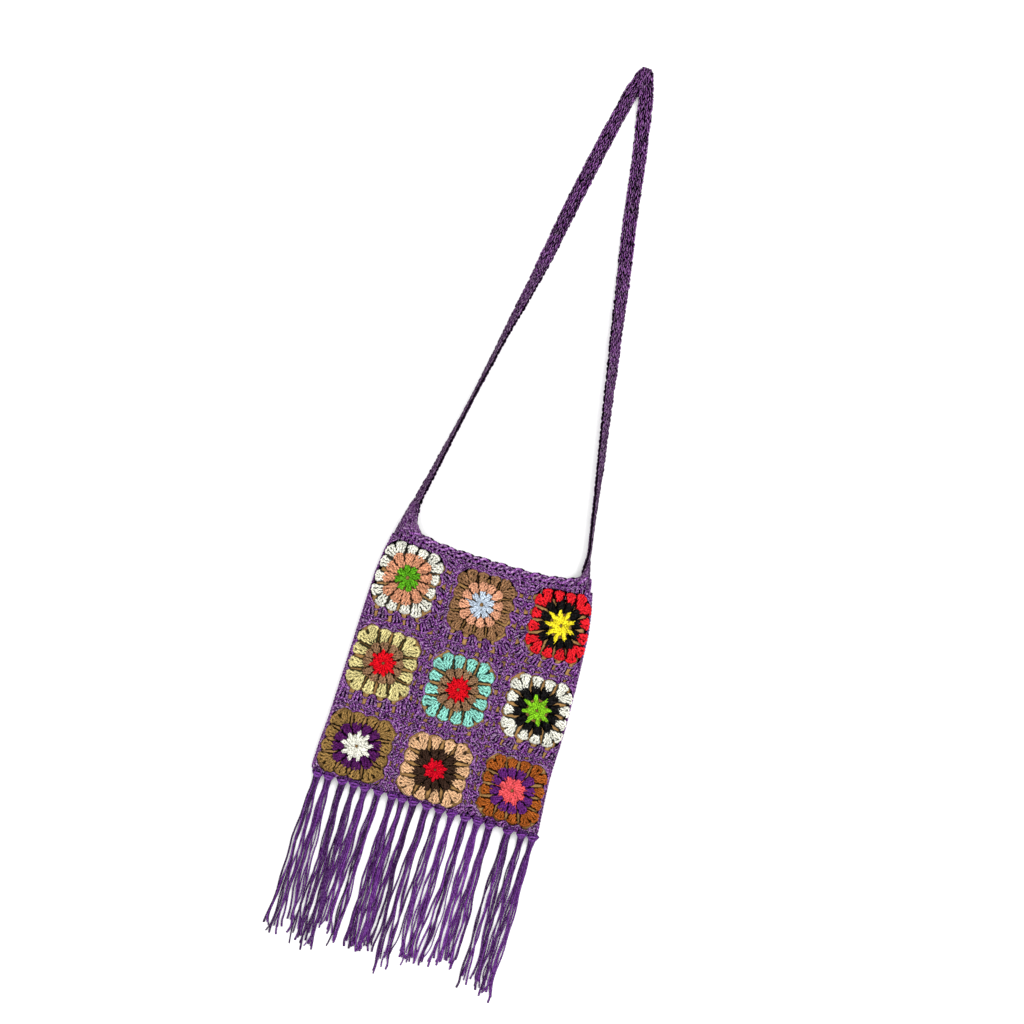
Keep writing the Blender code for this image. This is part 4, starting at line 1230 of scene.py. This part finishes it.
@dataclass
class BackPanel:
    """The plain back, worked in purple clusters row upon row."""

    crochet: Crochet
    row: float = 11.5 * MM
    pitch: float = 9.2 * MM
    post: float = 2.9 * MM
    fan: float = 2.9 * MM
    chain_width: float = 3.0 * MM
    chain_inset: float = 2.4 * MM

    def build(self) -> None:
        """Make the back's stitches."""
        work = YarnWork()
        base, tip = [], []
        rows = int((PANEL.mouth - PANEL.bottom) / self.row)
        step = (PANEL.mouth - PANEL.bottom) / rows
        middle = PANEL.back_wall / 2
        for k in range(rows):
            low = PANEL.bottom + k * step
            left = float(PANEL.side_edge(low + step / 2, -1))
            right = float(PANEL.side_edge(low + step / 2, 1))
            count = int((left + right) / self.pitch)
            for i in range(count * 3):
                share = (i // 3 + 0.5) / count
                fan = (i % 3 - 1) * self.fan
                x = -left + share * (left + right)
                rise = float(PANEL.mouth_line(x / left) - PANEL.mouth) * ((k + 1) / rows) ** 2
                base.append((x + fan * 0.75, low + rise * k / rows, middle - 0.4 * MM))
                tip.append((x + fan, low + step + rise, middle))
            self.chain(work, low + step, left, right, (k + 1) / rows)
        share = np.linspace(0.0, 1.0, 5)
        paths = runs(np.array(base), np.array(tip), share)
        swell = self.post / 2 * np.interp(share, [0, 0.5, 0.9, 1.0], [0.62, 1.0, 1.0, 0.7])
        radii = swell[None] * self.crochet.rng.uniform(0.94, 1.06, (len(base), 1))
        # Painted light from the floor side: out points down, so the upper sides of the stitches are painted
        # in shade.
        work.tubes(paths, radii, self.crochet.rng.uniform(0, 1, len(base)), 4, DOWN)
        work.piece("back_panel_stitches", GROUND_YARN, ["back_panel"])

    def chain(self, work: YarnWork, y: float, left: float, right: float, share: float) -> None:
        """Work the chain of heads along the top of one row.

        Args:
            work: The mesh that takes them.
            y: The height of the row.
            left: How far the row reaches to the left.
            right: How far it reaches to the right.
            share: How far up the bag it is.
        """
        x = np.linspace(self.chain_inset - left, right - self.chain_inset, 60)
        rise = (PANEL.mouth_line(x / left) - PANEL.mouth) * share**2
        line = points_of(x, y + rise, PANEL.back_wall / 2)
        # Painted light from the floor side, as for the back's posts.
        self.crochet.plait(work, line, DOWN, self.chain_width, self.pitch, 5)


@dataclass
class Edgings:
    """The cord along the seams and the scalloped band round the mouth."""

    crochet: Crochet
    scallops: int = 10
    scallop_depth: float = 1.8 * MM
    rim_height: float = 8.4 * MM
    corner_rise: float = 7.0 * MM
    holes: tuple[float, float] = (-66 * MM, -8 * MM)
    post_radius: float = 1.35 * MM
    slants: tuple[float, float] = (-2.4 * MM, 3.0 * MM)
    top_tuck: float = 2.6 * MM
    tuck_length: float = 16.0 * MM
    cord_pitch: float = 5.0 * MM

    def lean(self, x: np.ndarray, y: np.ndarray) -> np.ndarray:
        """How far the band draws in at height y, as the body's sides do there."""
        side = np.where(x < 0, -1, 1)
        return PANEL.side_edge(y, side) / PANEL.side_edge(PANEL.mouth, side) - 0.016

    def seam_line(self) -> np.ndarray:
        """Lead the seam cord down the left, along the bottom and up the right.

        Returns:
            Its middle line.
        """
        corner_y = PANEL.bottom + PANEL.roll
        top = PANEL.mouth + PANEL.mouth_rise
        sides = {}
        for side in (-1, 1):
            y = np.linspace(top, corner_y, 90)
            drawn_in = self.top_tuck * np.clip((y - top) / self.tuck_length + 1, 0, 1)
            x = side * (PANEL.side_edge(y, side) - drawn_in)
            centre = float(PANEL.side_edge(corner_y, side)) - PANEL.roll
            turn = np.linspace(0.0, math.pi / 2, 7)[1:]
            bend_x = side * (centre + PANEL.roll * np.cos(turn))
            bend_y = corner_y - PANEL.roll * np.sin(turn)
            sides[side] = points_of(np.append(x, bend_x), np.append(y, bend_y), PANEL.cord_z)
        return np.concatenate([sides[-1], sides[1][::-1]])

    def build_seam(self) -> None:
        """Make the seam's plaited cord."""
        work = YarnWork()
        line = self.seam_line()
        along = np.gradient(line, axis=0)
        out = unit(points_of(along[:, 1], -along[:, 0], 0.0))
        self.crochet.plait(work, line, out, 2 * PANEL.cord_radius * 1.15, self.cord_pitch)
        length = length_along(line)
        core = sampled(line, length, np.linspace(0, length[-1], 260))[None]
        work.tubes(core, PANEL.cord_radius * 0.72, np.array([0.4]), 6)
        work.piece("seam_edging_braid", GROUND_YARN, ["seam_edging"])

    def rim_top(self, share: Any, phase: Any) -> np.ndarray:
        """Find the top of the band.

        Args:
            share: The place across, as a share of the half width.
            phase: How many scallops lie before it.

        Returns:
            The height up the bag.
        """
        share = np.minimum(1.0, np.abs(share))
        height = self.rim_height + self.corner_rise * share**4
        scallop = self.scallop_depth * (1 - np.abs(np.sin(math.pi * np.asarray(phase)))) * (1 - share**6)
        return PANEL.mouth_line(share) + PANEL.clearance + height - scallop

    def round_mouth(self, count: int) -> tuple[np.ndarray, np.ndarray, np.ndarray, np.ndarray]:
        """Go once round the mouth.

        Args:
            count: How many stations there are.

        Returns:
            Places in X and Z, the way out there, the share of the half width and the scallop's phase.
        """
        radius = (PANEL.front_z - PANEL.back_wall / 2) / 2
        middle = (PANEL.front_z + PANEL.back_wall / 2) / 2
        left, right = (float(PANEL.side_edge(PANEL.mouth, side)) for side in (-1, 1))
        low, high = radius - left, right - radius
        run, bend = high - low, math.pi * radius
        xz, out, phase = np.zeros((count, 2)), np.zeros((count, 2)), np.zeros(count)
        for i, q in enumerate(np.arange(count) / count * 2 * (run + bend)):
            behind, at = divmod(q, run + bend)
            start, end, way = (high, low, -1) if behind else (low, high, 1)
            if at < run:
                xz[i], out[i] = (start + way * at, middle + way * radius), (0, way)
                phase[i] = at / run * self.scallops
            else:
                turn = way * math.pi / 2 - (at - run) / radius
                out[i] = (math.cos(turn), math.sin(turn))
                xz[i] = (end, middle) + radius * out[i]
        share = np.abs(xz[:, 0]) / np.where(xz[:, 0] < 0, left, right)
        return xz, out, share, phase

    def build_mouth(self) -> None:
        """Make the mouth's band: posts all round under a twisted edge."""
        work = YarnWork()
        xz, out, share, phase = self.round_mouth(184)
        low = PANEL.mouth_line(share) - (1.5 + 2.4 * share**4) * MM
        high = self.rim_top(share, phase) - 1.5 * MM
        steps = np.linspace(0.0, 1.0, 7)
        number = np.arange(len(xz))
        in_holes = (xz[:, 0] > self.holes[0]) & (xz[:, 0] < self.holes[1])
        worked = ~((out[:, 1] > 0.9) & in_holes & (number % 4 < 2))
        slant = np.take(self.slants, number % 2)[:, None] * np.abs(out[:, 1:2]) * steps[None, :]
        rise = low[:, None] + (high - low)[:, None] * steps[None, :]
        paths = points_of(xz[:, 0:1] * self.lean(xz[:, 0:1], rise) + slant, rise, xz[:, 1:2])[worked]
        away = points_of(out[:, 0], 0.0, out[:, 1])[worked]
        radius = self.post_radius * np.interp(steps, [0, 0.2, 0.8, 1], [0.7, 1, 1, 0.8])
        phases = self.crochet.rng.uniform(0, TAU, len(paths))
        shade = np.tile(self.crochet.rng.uniform(0, 1, len(paths)), 2)
        radii = np.tile(radius, (len(paths), 1))
        work.plied(paths, radii, 0.9, phases, shade, np.tile(away[:, None], (2, 1, 1)))
        xz, out, share, phase = self.round_mouth(360)
        away = points_of(out[:, 0], 0.0, out[:, 1])
        for drop, lift, stitch, width, pitch in (
            (1.8 * MM, 0.4 * MM, self.crochet.rope, 7.8 * MM, 19.6 * MM),
            (9.2 * MM, 0.6 * MM, self.crochet.plait, 4.8 * MM, 6.0 * MM),
        ):
            top = self.rim_top(share, phase) - drop
            drawn_in = self.lean(xz[:, 0], top) - 0.032 * (1 - np.abs(out[:, 1]))
            line = points_of(xz[:, 0] * drawn_in, top, xz[:, 1]) + away * lift * np.abs(out[:, 1:2])
            stitch(work, np.vstack([line, line[:1]]), np.vstack([away, away[:1]]), width, pitch)
        work.piece("mouth_edging_scallops", GROUND_YARN, ["mouth_edging"])


@dataclass
class Lining:
    """The cotton pouch that shows through the net."""

    wall: float = 1.0 * MM
    margin: float = 4.0 * MM
    drop: float = 11.0 * MM

    def ring(self, y: float, inset: float, squash: float) -> np.ndarray:
        """One ring of the pouch at height y.

        Args:
            y: Where it lies.
            inset: How far inside the outer face.
            squash: Its thickness as a share of the full one.

        Returns:
            The ring's points.
        """
        low = PANEL.back_wall + PANEL.clearance + inset
        high = PANEL.front_z - PANEL.front_wall / 2 - PANEL.clearance - inset
        middle, radius = (low + high) / 2, (high - low) / 2
        left = float(PANEL.side_edge(y, -1)) - self.margin - radius - inset
        right = float(PANEL.side_edge(y, 1)) - self.margin - radius - inset
        across = np.linspace(-left, right, 40)
        turn = np.radians(np.linspace(-67.5, 67.5, 6))
        crease = 0.12 * MM * np.sin(across * 210 + y * 90) + 0.10 * MM * np.sin(across * 90 - y * 160 + 1)
        under = points_of(across, y, low)
        over = points_of(across, y, high + PANEL.crown(across, y) + crease)[::-1]
        bend, back = (
            points_of(side * (edge + radius * np.cos(turn)), y, middle + radius * np.sin(turn))
            for side, edge in ((1, right), (-1, left))
        )
        ring = np.concatenate([under, bend, over, back[::-1]])
        ring[:, 2] = middle + (ring[:, 2] - middle) * squash
        return ring

    def build(self) -> None:
        """Make the pouch."""
        work = YarnWork()
        bottom = PANEL.bottom + self.margin
        top = PANEL.mouth - self.drop
        stations = bottom + np.linspace(0.03, 1.0, 36) * (top - bottom)
        rings = [self.ring(bottom, 0.0, 0.45)]
        rings += [self.ring(float(y), 0.0, 1.0) for y in stations]
        rings += [self.ring(float(y), self.wall, 1.0) for y in stations[::-1]]
        rings.append(self.ring(bottom + self.wall, self.wall, 0.35))
        points = np.array(rings)[None]
        lay = np.arange(len(rings), dtype=float)[None]
        work.grid(points, np.array([0.5]), lay)
        made = work.piece("lining_pouch", LINING_COTTON, ["lining"])


@dataclass
class Strap:
    """The broad strap, worked in close rows of single crochet and folded over at its top."""

    edgings: Edgings
    width: float = 16.5 * MM
    thickness: float = 3.6 * MM
    reach: float = 556.0 * MM
    fold_gap: float = 0.6 * MM
    fold_at: float = 0.9985
    row: float = 5.0 * MM
    columns: int = 7
    core_cut: float = 1.5 * MM
    samples_a_row: float = 3.0
    slant: float = 0.7 * MM
    bulge: float = 0.75 * MM
    edge_drop: float = 0.55 * MM
    rib_radius: float = 1.35 * MM

    def stations(self) -> np.ndarray:
        """Set the stations that the band passes, from the left leg over the fold to the right one.

        Returns:
            Centre, across, through and breadth in one row of ten numbers for each.
        """
        step = self.thickness + self.fold_gap
        foot = float(self.edgings.rim_top(1.0, 0.0)) + PANEL.clearance
        legs = {}
        for leg, side in ((LEFT_LEG, -1), (RIGHT_LEG, 1)):
            up, across, face, breadth, lift = np.array(leg, dtype=float).T
            turn = np.radians(face)
            rest = breadth * self.width / 2 * np.sin(turn) + self.thickness / 2 * np.cos(turn)
            points = points_of(across * PANEL.half_width, foot + up * self.reach, rest + lift * step)
            along = np.gradient(points * (1, 1, 0), axis=0)
            along[0] = (0.0, 1.0, 0.0)
            along = unit(along)
            wide = points_of(along[:, 1] * np.cos(turn), -along[:, 0] * np.cos(turn), -side * np.sin(turn))
            legs[side] = np.column_stack([points, wide, np.cross(along * -side, wide), breadth])
        fold_y = foot + self.fold_at * self.reach - step / 2 - self.thickness / 2
        fold = []
        for row in FOLD:
            turn = math.radians(row.turn)
            out = np.array([0.0, math.cos(turn), math.sin(turn)])
            centre = (row.across * PANEL.half_width, fold_y, self.thickness / 2 + step / 2) + out * step / 2
            fold.append((*centre, 1.0, 0.0, 0.0, *out, row.breadth))
        return np.vstack([legs[-1], fold, legs[1][::-1]])

    def smooth(self, rows: np.ndarray) -> tuple[np.ndarray, np.ndarray]:
        """Draw a smooth curve through the stations, with even steps along the strap.

        Args:
            rows: The stations.

        Returns:
            The finer stations and the length along the strap at each.
        """
        curve = rounded(rows[None], np.linspace(0, 1, 40, endpoint=False))[0]
        length = length_along(curve[:, :3])
        at = np.arange(0.0, length[-1], self.row / self.samples_a_row)
        return sampled(curve, length, at), at

    def build(self) -> None:
        """Make the strap: slanted stitches on both faces of a thin band, and the ribs at its roots."""
        rng = self.edgings.crochet.rng
        even, at = self.smooth(self.stations())
        even[:, 3:6], even[:, 6:9] = unit(even[:, 3:6]), unit(even[:, 6:9])
        centre, across, through, breadth = even[:, 0:3], even[:, 3:6], even[:, 6:9], even[:, 9]
        turn = (np.arange(12) + 0.5) / 12 * TAU
        flat, deep = (np.sign(wave) * np.abs(wave) ** 0.4 for wave in (np.cos(turn), np.sin(turn)))
        half = (breadth * self.width - self.core_cut)[:, None] / 2
        rings = centre[:, None] + across[:, None] * (flat[None] * half)[..., None]
        rings = rings + through[:, None] * (deep * (self.thickness - self.core_cut) / 2)[None, :, None]
        work = YarnWork()
        # Painted shade: the band's core gets no painted light, so it shows dark between the stitches.
        work.grid(rings[None], np.array([0.3]), at[None], 0.0)
        rows = int(at[-1] / self.row)
        share = np.linspace(-0.5, 0.5, 5)
        paths, outs, tones_and_edge_shade = [], [], []
        for face in (-1.0, 1.0):
            for column in range(self.columns):
                place = (column + 0.5) / self.columns * 2 - 1
                lean = 1.0 if column % 2 else -1.0
                middle = (np.arange(rows) + 0.5 + 0.25 * lean) * self.row + rng.normal(0, 0.7 * MM, rows)
                stroke = self.row * rng.uniform(0.9, 1.25, (rows, 1))
                along = np.clip(middle[:, None] + share * stroke, 0.0, at[-1])
                wide = np.interp(along, at, breadth) * self.width / 2 - 0.25 * MM
                w = place * wide + lean * face * self.slant * share * 2 + rng.normal(0, 0.3 * MM, (rows, 1))
                rise = np.cos(share * math.pi * 0.9) * self.bulge - self.edge_drop * abs(place) ** 4
                d = face * (self.thickness / 2 - 1.0 * MM + rise + rng.normal(0, 0.1 * MM, (rows, 1)))
                spot, aside, off = (sampled(part, at, along) for part in (centre, across, through))
                paths.append(spot + aside * w[..., None] + off * d[..., None])
                outs.append(off * face + aside * place**3 * 0.6)
                # Random tones, with painted shade that darkens the stitches where the band stands on edge.
                tones_and_edge_shade.append(rng.uniform(0.1, 1.15, rows) * np.abs(off[:, 2, 2]) ** 1.5)
        paths, outs, tones_and_edge_shade = np.concatenate(paths), np.concatenate(outs), np.concatenate(tones_and_edge_shade)
        radius = self.width / self.columns / 2 * np.array([0.50, 0.80, 0.88, 0.80, 0.50])[None, :]
        radius = radius * rng.uniform(0.72, 1.15, (len(paths), 1))
        work.tubes(paths, radius, tones_and_edge_shade, 4, outs)
        for root in ROOTS:
            self.root(work, even if root.side < 0 else even[::-1], root)
        work.piece("shoulder_strap_crochet", STRAP_YARN, ["shoulder_strap"])

    def root(self, work: YarnWork, even: np.ndarray, root: Root) -> None:
        """Work the ribs that run from the mouth's edging up into one end of the strap.

        Args:
            work: The mesh that takes them.
            even: The strap's stations from this end.
            root: Where the ribs start and how far up they run.
        """
        rng = self.edgings.crochet.rng
        reach = float(PANEL.side_edge(PANEL.mouth, root.side))
        share = np.linspace(0.0, 1.0, 9)
        rest = PANEL.front_z + np.array([0.8, 1.4]) * MM
        outward = np.linspace(0.0, 1.0, root.ribs)[:: root.side]
        paths = []
        for k, near_edge in enumerate(outward):
            x0 = (root.first + (root.last - root.first) * k / (root.ribs - 1)) * MM
            y0 = float(self.edgings.rim_top(x0 / reach, 0.5)) - (3.0 + 11.0 * near_edge**3) * MM
            rise = (root.inner_rise + (root.outer_rise - root.inner_rise) * near_edge) * MM
            spot = even[int(np.interp(y0 + rise, even[:110, 1], np.arange(110)))]
            w = (k / (root.ribs - 1) - 0.5) * (spot[9] * self.width - 2 * MM) * (1 if spot[3] > 0 else -1)
            d = math.copysign(self.thickness / 2 - 0.4 * MM, spot[8])
            top = spot[0:3] + spot[3:6] * w + spot[6:9] * d
            x = top[0] + (x0 - top[0]) * (1 - share) ** (2.0 - 1.0 * near_edge)
            y = y0 + (top[1] - y0) * share
            paths.append(points_of(x, y, np.interp(share, [0.0, 0.3, 1.0], [*rest, top[2]])))
        radius = self.rib_radius * np.interp(share, [0, 0.15, 0.9, 1], [0.6, 1, 1, 0.7])
        phases = rng.uniform(0, 6, root.ribs)
        shade = rng.uniform(0, 0.7, 2 * root.ribs)
        work.plied(np.array(paths), np.tile(radius, (root.ribs, 1)), 2.6, phases, shade)


# A knot's loops over the seam: the angle down from the front, the length as a share of the knot's
# width and the rise in the middle in millimetres.
Loop = namedtuple("Loop", "degrees length rise")
LOOPS = (Loop(36, 0.92, 0.7), Loop(60, 1.06, 1.5), Loop(84, 0.80, 1.5))


@dataclass
class Fringe:
    """Eighteen tassels, each of doubled yarns hooked round the bottom seam."""

    length: float = 176.0 * MM
    width: float = 13.2 * MM
    height: float = 3.6 * MM
    knot_width: float = 11.8 * MM
    knot_thickness: float = 3.4 * MM
    proud: float = 0.5 * MM
    strands: int = 8
    yarn: float = 2.2 * MM
    sway: float = 2.2 * MM
    ripple: float = 0.6 * MM
    curl: float = 2.0 * MM
    # How far under the knot's loops their painted shadow lies.
    knot_shadow_drop: float = 1.1 * MM
    seed: int = 11
    # How far down its length each point of a yarn lies.
    flow: tuple[float, ...] = (
        0.09, 0.15, 0.22, 0.29, 0.36, 0.43, 0.50, 0.57, 0.64, 0.71, 0.78, 0.85, 0.91, 0.96, 1.0,
    )

    def seam_height(self, x: float) -> float:
        """Find the height of the bottom seam's middle line.

        Args:
            x: Where it is, across.

        Returns:
            The height up the bag.
        """
        side = 1 if x > 0 else -1
        over = max(0.0, abs(x) - float(PANEL.side_edge(PANEL.bottom, side)) + PANEL.roll)
        return PANEL.bottom + PANEL.roll - math.sqrt(max(0.0, PANEL.roll**2 - over**2))

    def knot(self, tassel: Tassel) -> tuple[float, float, float]:
        """Find where a tassel's knot lies.

        Args:
            tassel: The tassel.

        Returns:
            Its place across, the seam's height there and the knot's distance from the roll's middle.
        """
        x = tassel.knot * PANEL.half_width
        radius = PANEL.roll + PANEL.front_wall / 2 + self.proud + PANEL.clearance + self.knot_thickness / 2
        return x, self.seam_height(x), radius

    def strand_paths(self, tassel: Tassel, rng: np.random.Generator) -> tuple[np.ndarray, np.ndarray]:
        """Lead each yarn over the seam, through the knot and down to its frayed end.

        Args:
            tassel: The tassel.
            rng: The source of its unevenness.

        Returns:
            The yarns' paths and their radii.
        """
        x_knot, seam, radius = self.knot(tassel)
        length = tassel.reach * self.length
        slots = (np.arange(self.strands) + 0.5) / self.strands * 2 - 1
        order = rng.permutation(self.strands)
        drift = rng.normal(0, 0.24, self.strands)
        paths = []
        for slot, turned, drifted in zip(slots, order, drift):
            layer = 0.5 + 0.5 * math.sin(turned * 2.4)
            points = []
            for degrees, spread in ((14, 0.34), (40, 0.40), (66, 0.38), (88, 0.34)):
                turn = math.radians(degrees)
                out = radius - 0.8 * MM + layer * 1.0 * MM
                x = x_knot + slot * self.knot_width * spread
                y = seam + PANEL.roll - math.sin(turn) * out
                points.append((x, y, PANEL.edge_z + math.cos(turn) * out))
            x = x_knot + slot * self.knot_width * 0.30
            points.append((x, seam - 6.2 * MM, 3.6 * MM + layer * 2.2 * MM))
            phase = rng.uniform(0, TAU, 3)
            own = length * (0.975 + rng.normal(0, 0.020) + (0.055 if rng.random() < 0.25 else 0.0))
            curl = rng.normal(0, self.curl)
            for along in self.flow:
                line = np.interp(along, (0.1, 0.5, 1.0), (tassel.knot, tassel.middle, tassel.tip))
                fan = np.interp(along, (0.05, 0.3, 0.8, 1.0), (0.26, 0.44, 0.64, 0.64))
                x = line * PANEL.half_width + (slot + drifted * along) * self.width * tassel.breadth * fan
                x += math.sin(along * 8 + phase[0]) * along * self.sway
                x += math.sin(along * 24 + phase[1]) * self.ripple
                x += curl * max(0.0, along - 0.90) / 0.10 * math.sin((along - 0.90) * 24 + phase[2])
                z = self.yarn / 2 + layer * (self.height - self.yarn) * (1 - 0.5 * along)
                points.append((x, seam - 2.0 * MM - along * own, z))
            paths.append(points)
        fine = rounded(np.array(paths), np.arange(3) / 3)
        radii = np.interp(np.linspace(0, 1, fine.shape[1]), [0, 0.9, 1], [1, 0.95, 1.1])[None]
        return fine, radii * self.yarn / 2 * rng.uniform(0.62, 1.12, (self.strands, 1))

    def wraps(self, tassel: Tassel, rng: np.random.Generator) -> np.ndarray:
        """Lead the loop that holds the yarns: three turns side by side over the seam.

        Args:
            tassel: The tassel.
            rng: The source of its unevenness.

        Returns:
            The loop's paths.
        """
        x_knot, seam, radius = self.knot(tassel)
        tilt = rng.normal(0.12, 0.1)
        share = np.linspace(-1.0, 1.0, 11)
        turns = []
        for loop in LOOPS:
            turn = math.radians(loop.degrees + rng.normal(0, 2))
            half = self.knot_width * 0.50 * loop.length
            height = radius + (loop.rise * np.cos(share * math.pi / 2) - 1.6 * np.abs(share) ** 3) * MM
            bow = turn + 0.22 * share**2 * (1 if loop.degrees < 60 else -1)
            x = x_knot + share * half
            y = seam + PANEL.roll - np.sin(bow) * height + share * half * tilt
            turns.append(points_of(x, y, PANEL.edge_z + np.cos(bow) * height))
        return np.array(turns)

    def build(self) -> None:
        """Make the tassels."""
        rng = np.random.default_rng(self.seed)
        slope = np.array([0.0, -0.50, 0.87])
        swell = ([-1, -0.6, 0, 0.6, 1], [0.3, 0.66, 0.80, 0.66, 0.3])
        thick = self.yarn * np.interp(np.linspace(-1, 1, 11), *swell)
        for number, tassel in enumerate(TASSELS, 1):
            work = YarnWork()
            paths, radii = self.strand_paths(tassel, rng)
            work.tubes(paths, radii, rng.uniform(0, 1, len(paths)), loose=True)
            loops = self.wraps(tassel, rng)
            # Painted shadow: a thicker, dark copy of the loops set beneath them and lit from behind, so
            # that each knot gets a dark outline.
            work.tubes(loops - slope * self.knot_shadow_drop, thick * 1.3, np.full(3, 0.1), 7, -slope)
            work.tubes(loops, thick, rng.uniform(0.6, 1.0, 3), 7, slope)
            work.piece(f"tassel_{number:02d}_yarns", FRINGE_YARN, [f"tassel_{number:02d}"])


@dataclass
class Studio:
    """A pale floor, soft light all round and a camera straight above."""

    aim: tuple[float, float, float] = (1.3 * MM, 205.0 * MM, 10.0 * MM)
    up: tuple[float, float, float] = (-0.289, 0.957, 0.0)
    distance: float = 3.4
    frame_width: float = 1.1264
    sensor: float = 36.0
    floor_half: float = 6.0
    floor_z: float = -0.4 * MM

    def floor(self) -> None:
        """Lay the floor."""
        mesh = bpy.data.meshes.new("floor")
        half, z = self.floor_half, self.floor_z
        around = ((-half, -half, z), (half, -half, z), (half, half, z), (-half, half, z))
        mesh.from_pydata(around, [], [(0, 1, 2, 3)])
        paper, _, fill_shader = new_material("white_paper")
        fill_shader({"Base Color": srgb("#FDFDFD"), "Roughness": 0.95, "Specular IOR Level": 0.1})
        mesh.materials.append(paper)
        linked("floor", mesh)

    def lights(self) -> None:
        """Hang one large soft light and let the room fill in the rest."""
        world = bpy.data.worlds.new("soft_room")
        world.use_nodes = True
        back = world.node_tree.nodes["Background"]
        back.inputs["Color"].default_value = srgb("#FFFFFF")
        back.inputs["Strength"].default_value = 1.30
        bpy.context.scene.world = world
        for name, place, power, size in (
            ("key", (1.2, 1.0, 2.4), 34.0, 1.6),
            ("fill", (-1.4, -0.6, 2.4), 12.0, 2.4),
        ):
            light = bpy.data.lights.new(name, "AREA")
            light.energy = power
            light.size = size
            holder = linked(name, light)
            holder.location = place
            holder.rotation_euler = (Vector(self.aim) - Vector(place)).to_track_quat("-Z", "Y").to_euler()

    def camera(self) -> None:
        """Set the camera straight above, turned as the photograph is."""
        lens = bpy.data.cameras.new("overhead")
        lens.sensor_width = self.sensor
        lens.lens = self.sensor * self.distance / self.frame_width
        lens.clip_end = 20.0
        holder = linked("overhead", lens)
        up = Vector(self.up).normalized()
        out = Vector((0.0, 0.0, 1.0))
        right = up.cross(out)
        turn = Matrix((right, up, out)).transposed().to_4x4()
        holder.matrix_world = Matrix.Translation(Vector(self.aim) + out * self.distance) @ turn
        bpy.context.scene.camera = holder

    def build(self) -> None:
        """Set the studio up."""
        self.floor()
        self.lights()
        self.camera()
        bpy.context.scene.view_settings.view_transform = "Standard"


def corners(box: tuple[Vector, Vector]) -> list[list[float]]:
    """A box as plain lists of numbers."""
    return [[float(value) for value in corner] for corner in box]


def main() -> None:
    """Build the bag's pieces in order; each piece logs its triangle count."""
    logging.basicConfig(level=logging.INFO, format="%(name)s: %(message)s")
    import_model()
    studio = Studio()
    studio.build()
    crochet = Crochet()
    edgings = Edgings(crochet)
    GrannySquares(crochet).build()
    BackPanel(crochet).build()
    edgings.build_seam()
    edgings.build_mouth()
    Lining().build()
    Strap(edgings).build()
    Fringe().build()


if __name__ == "__main__":
    main()
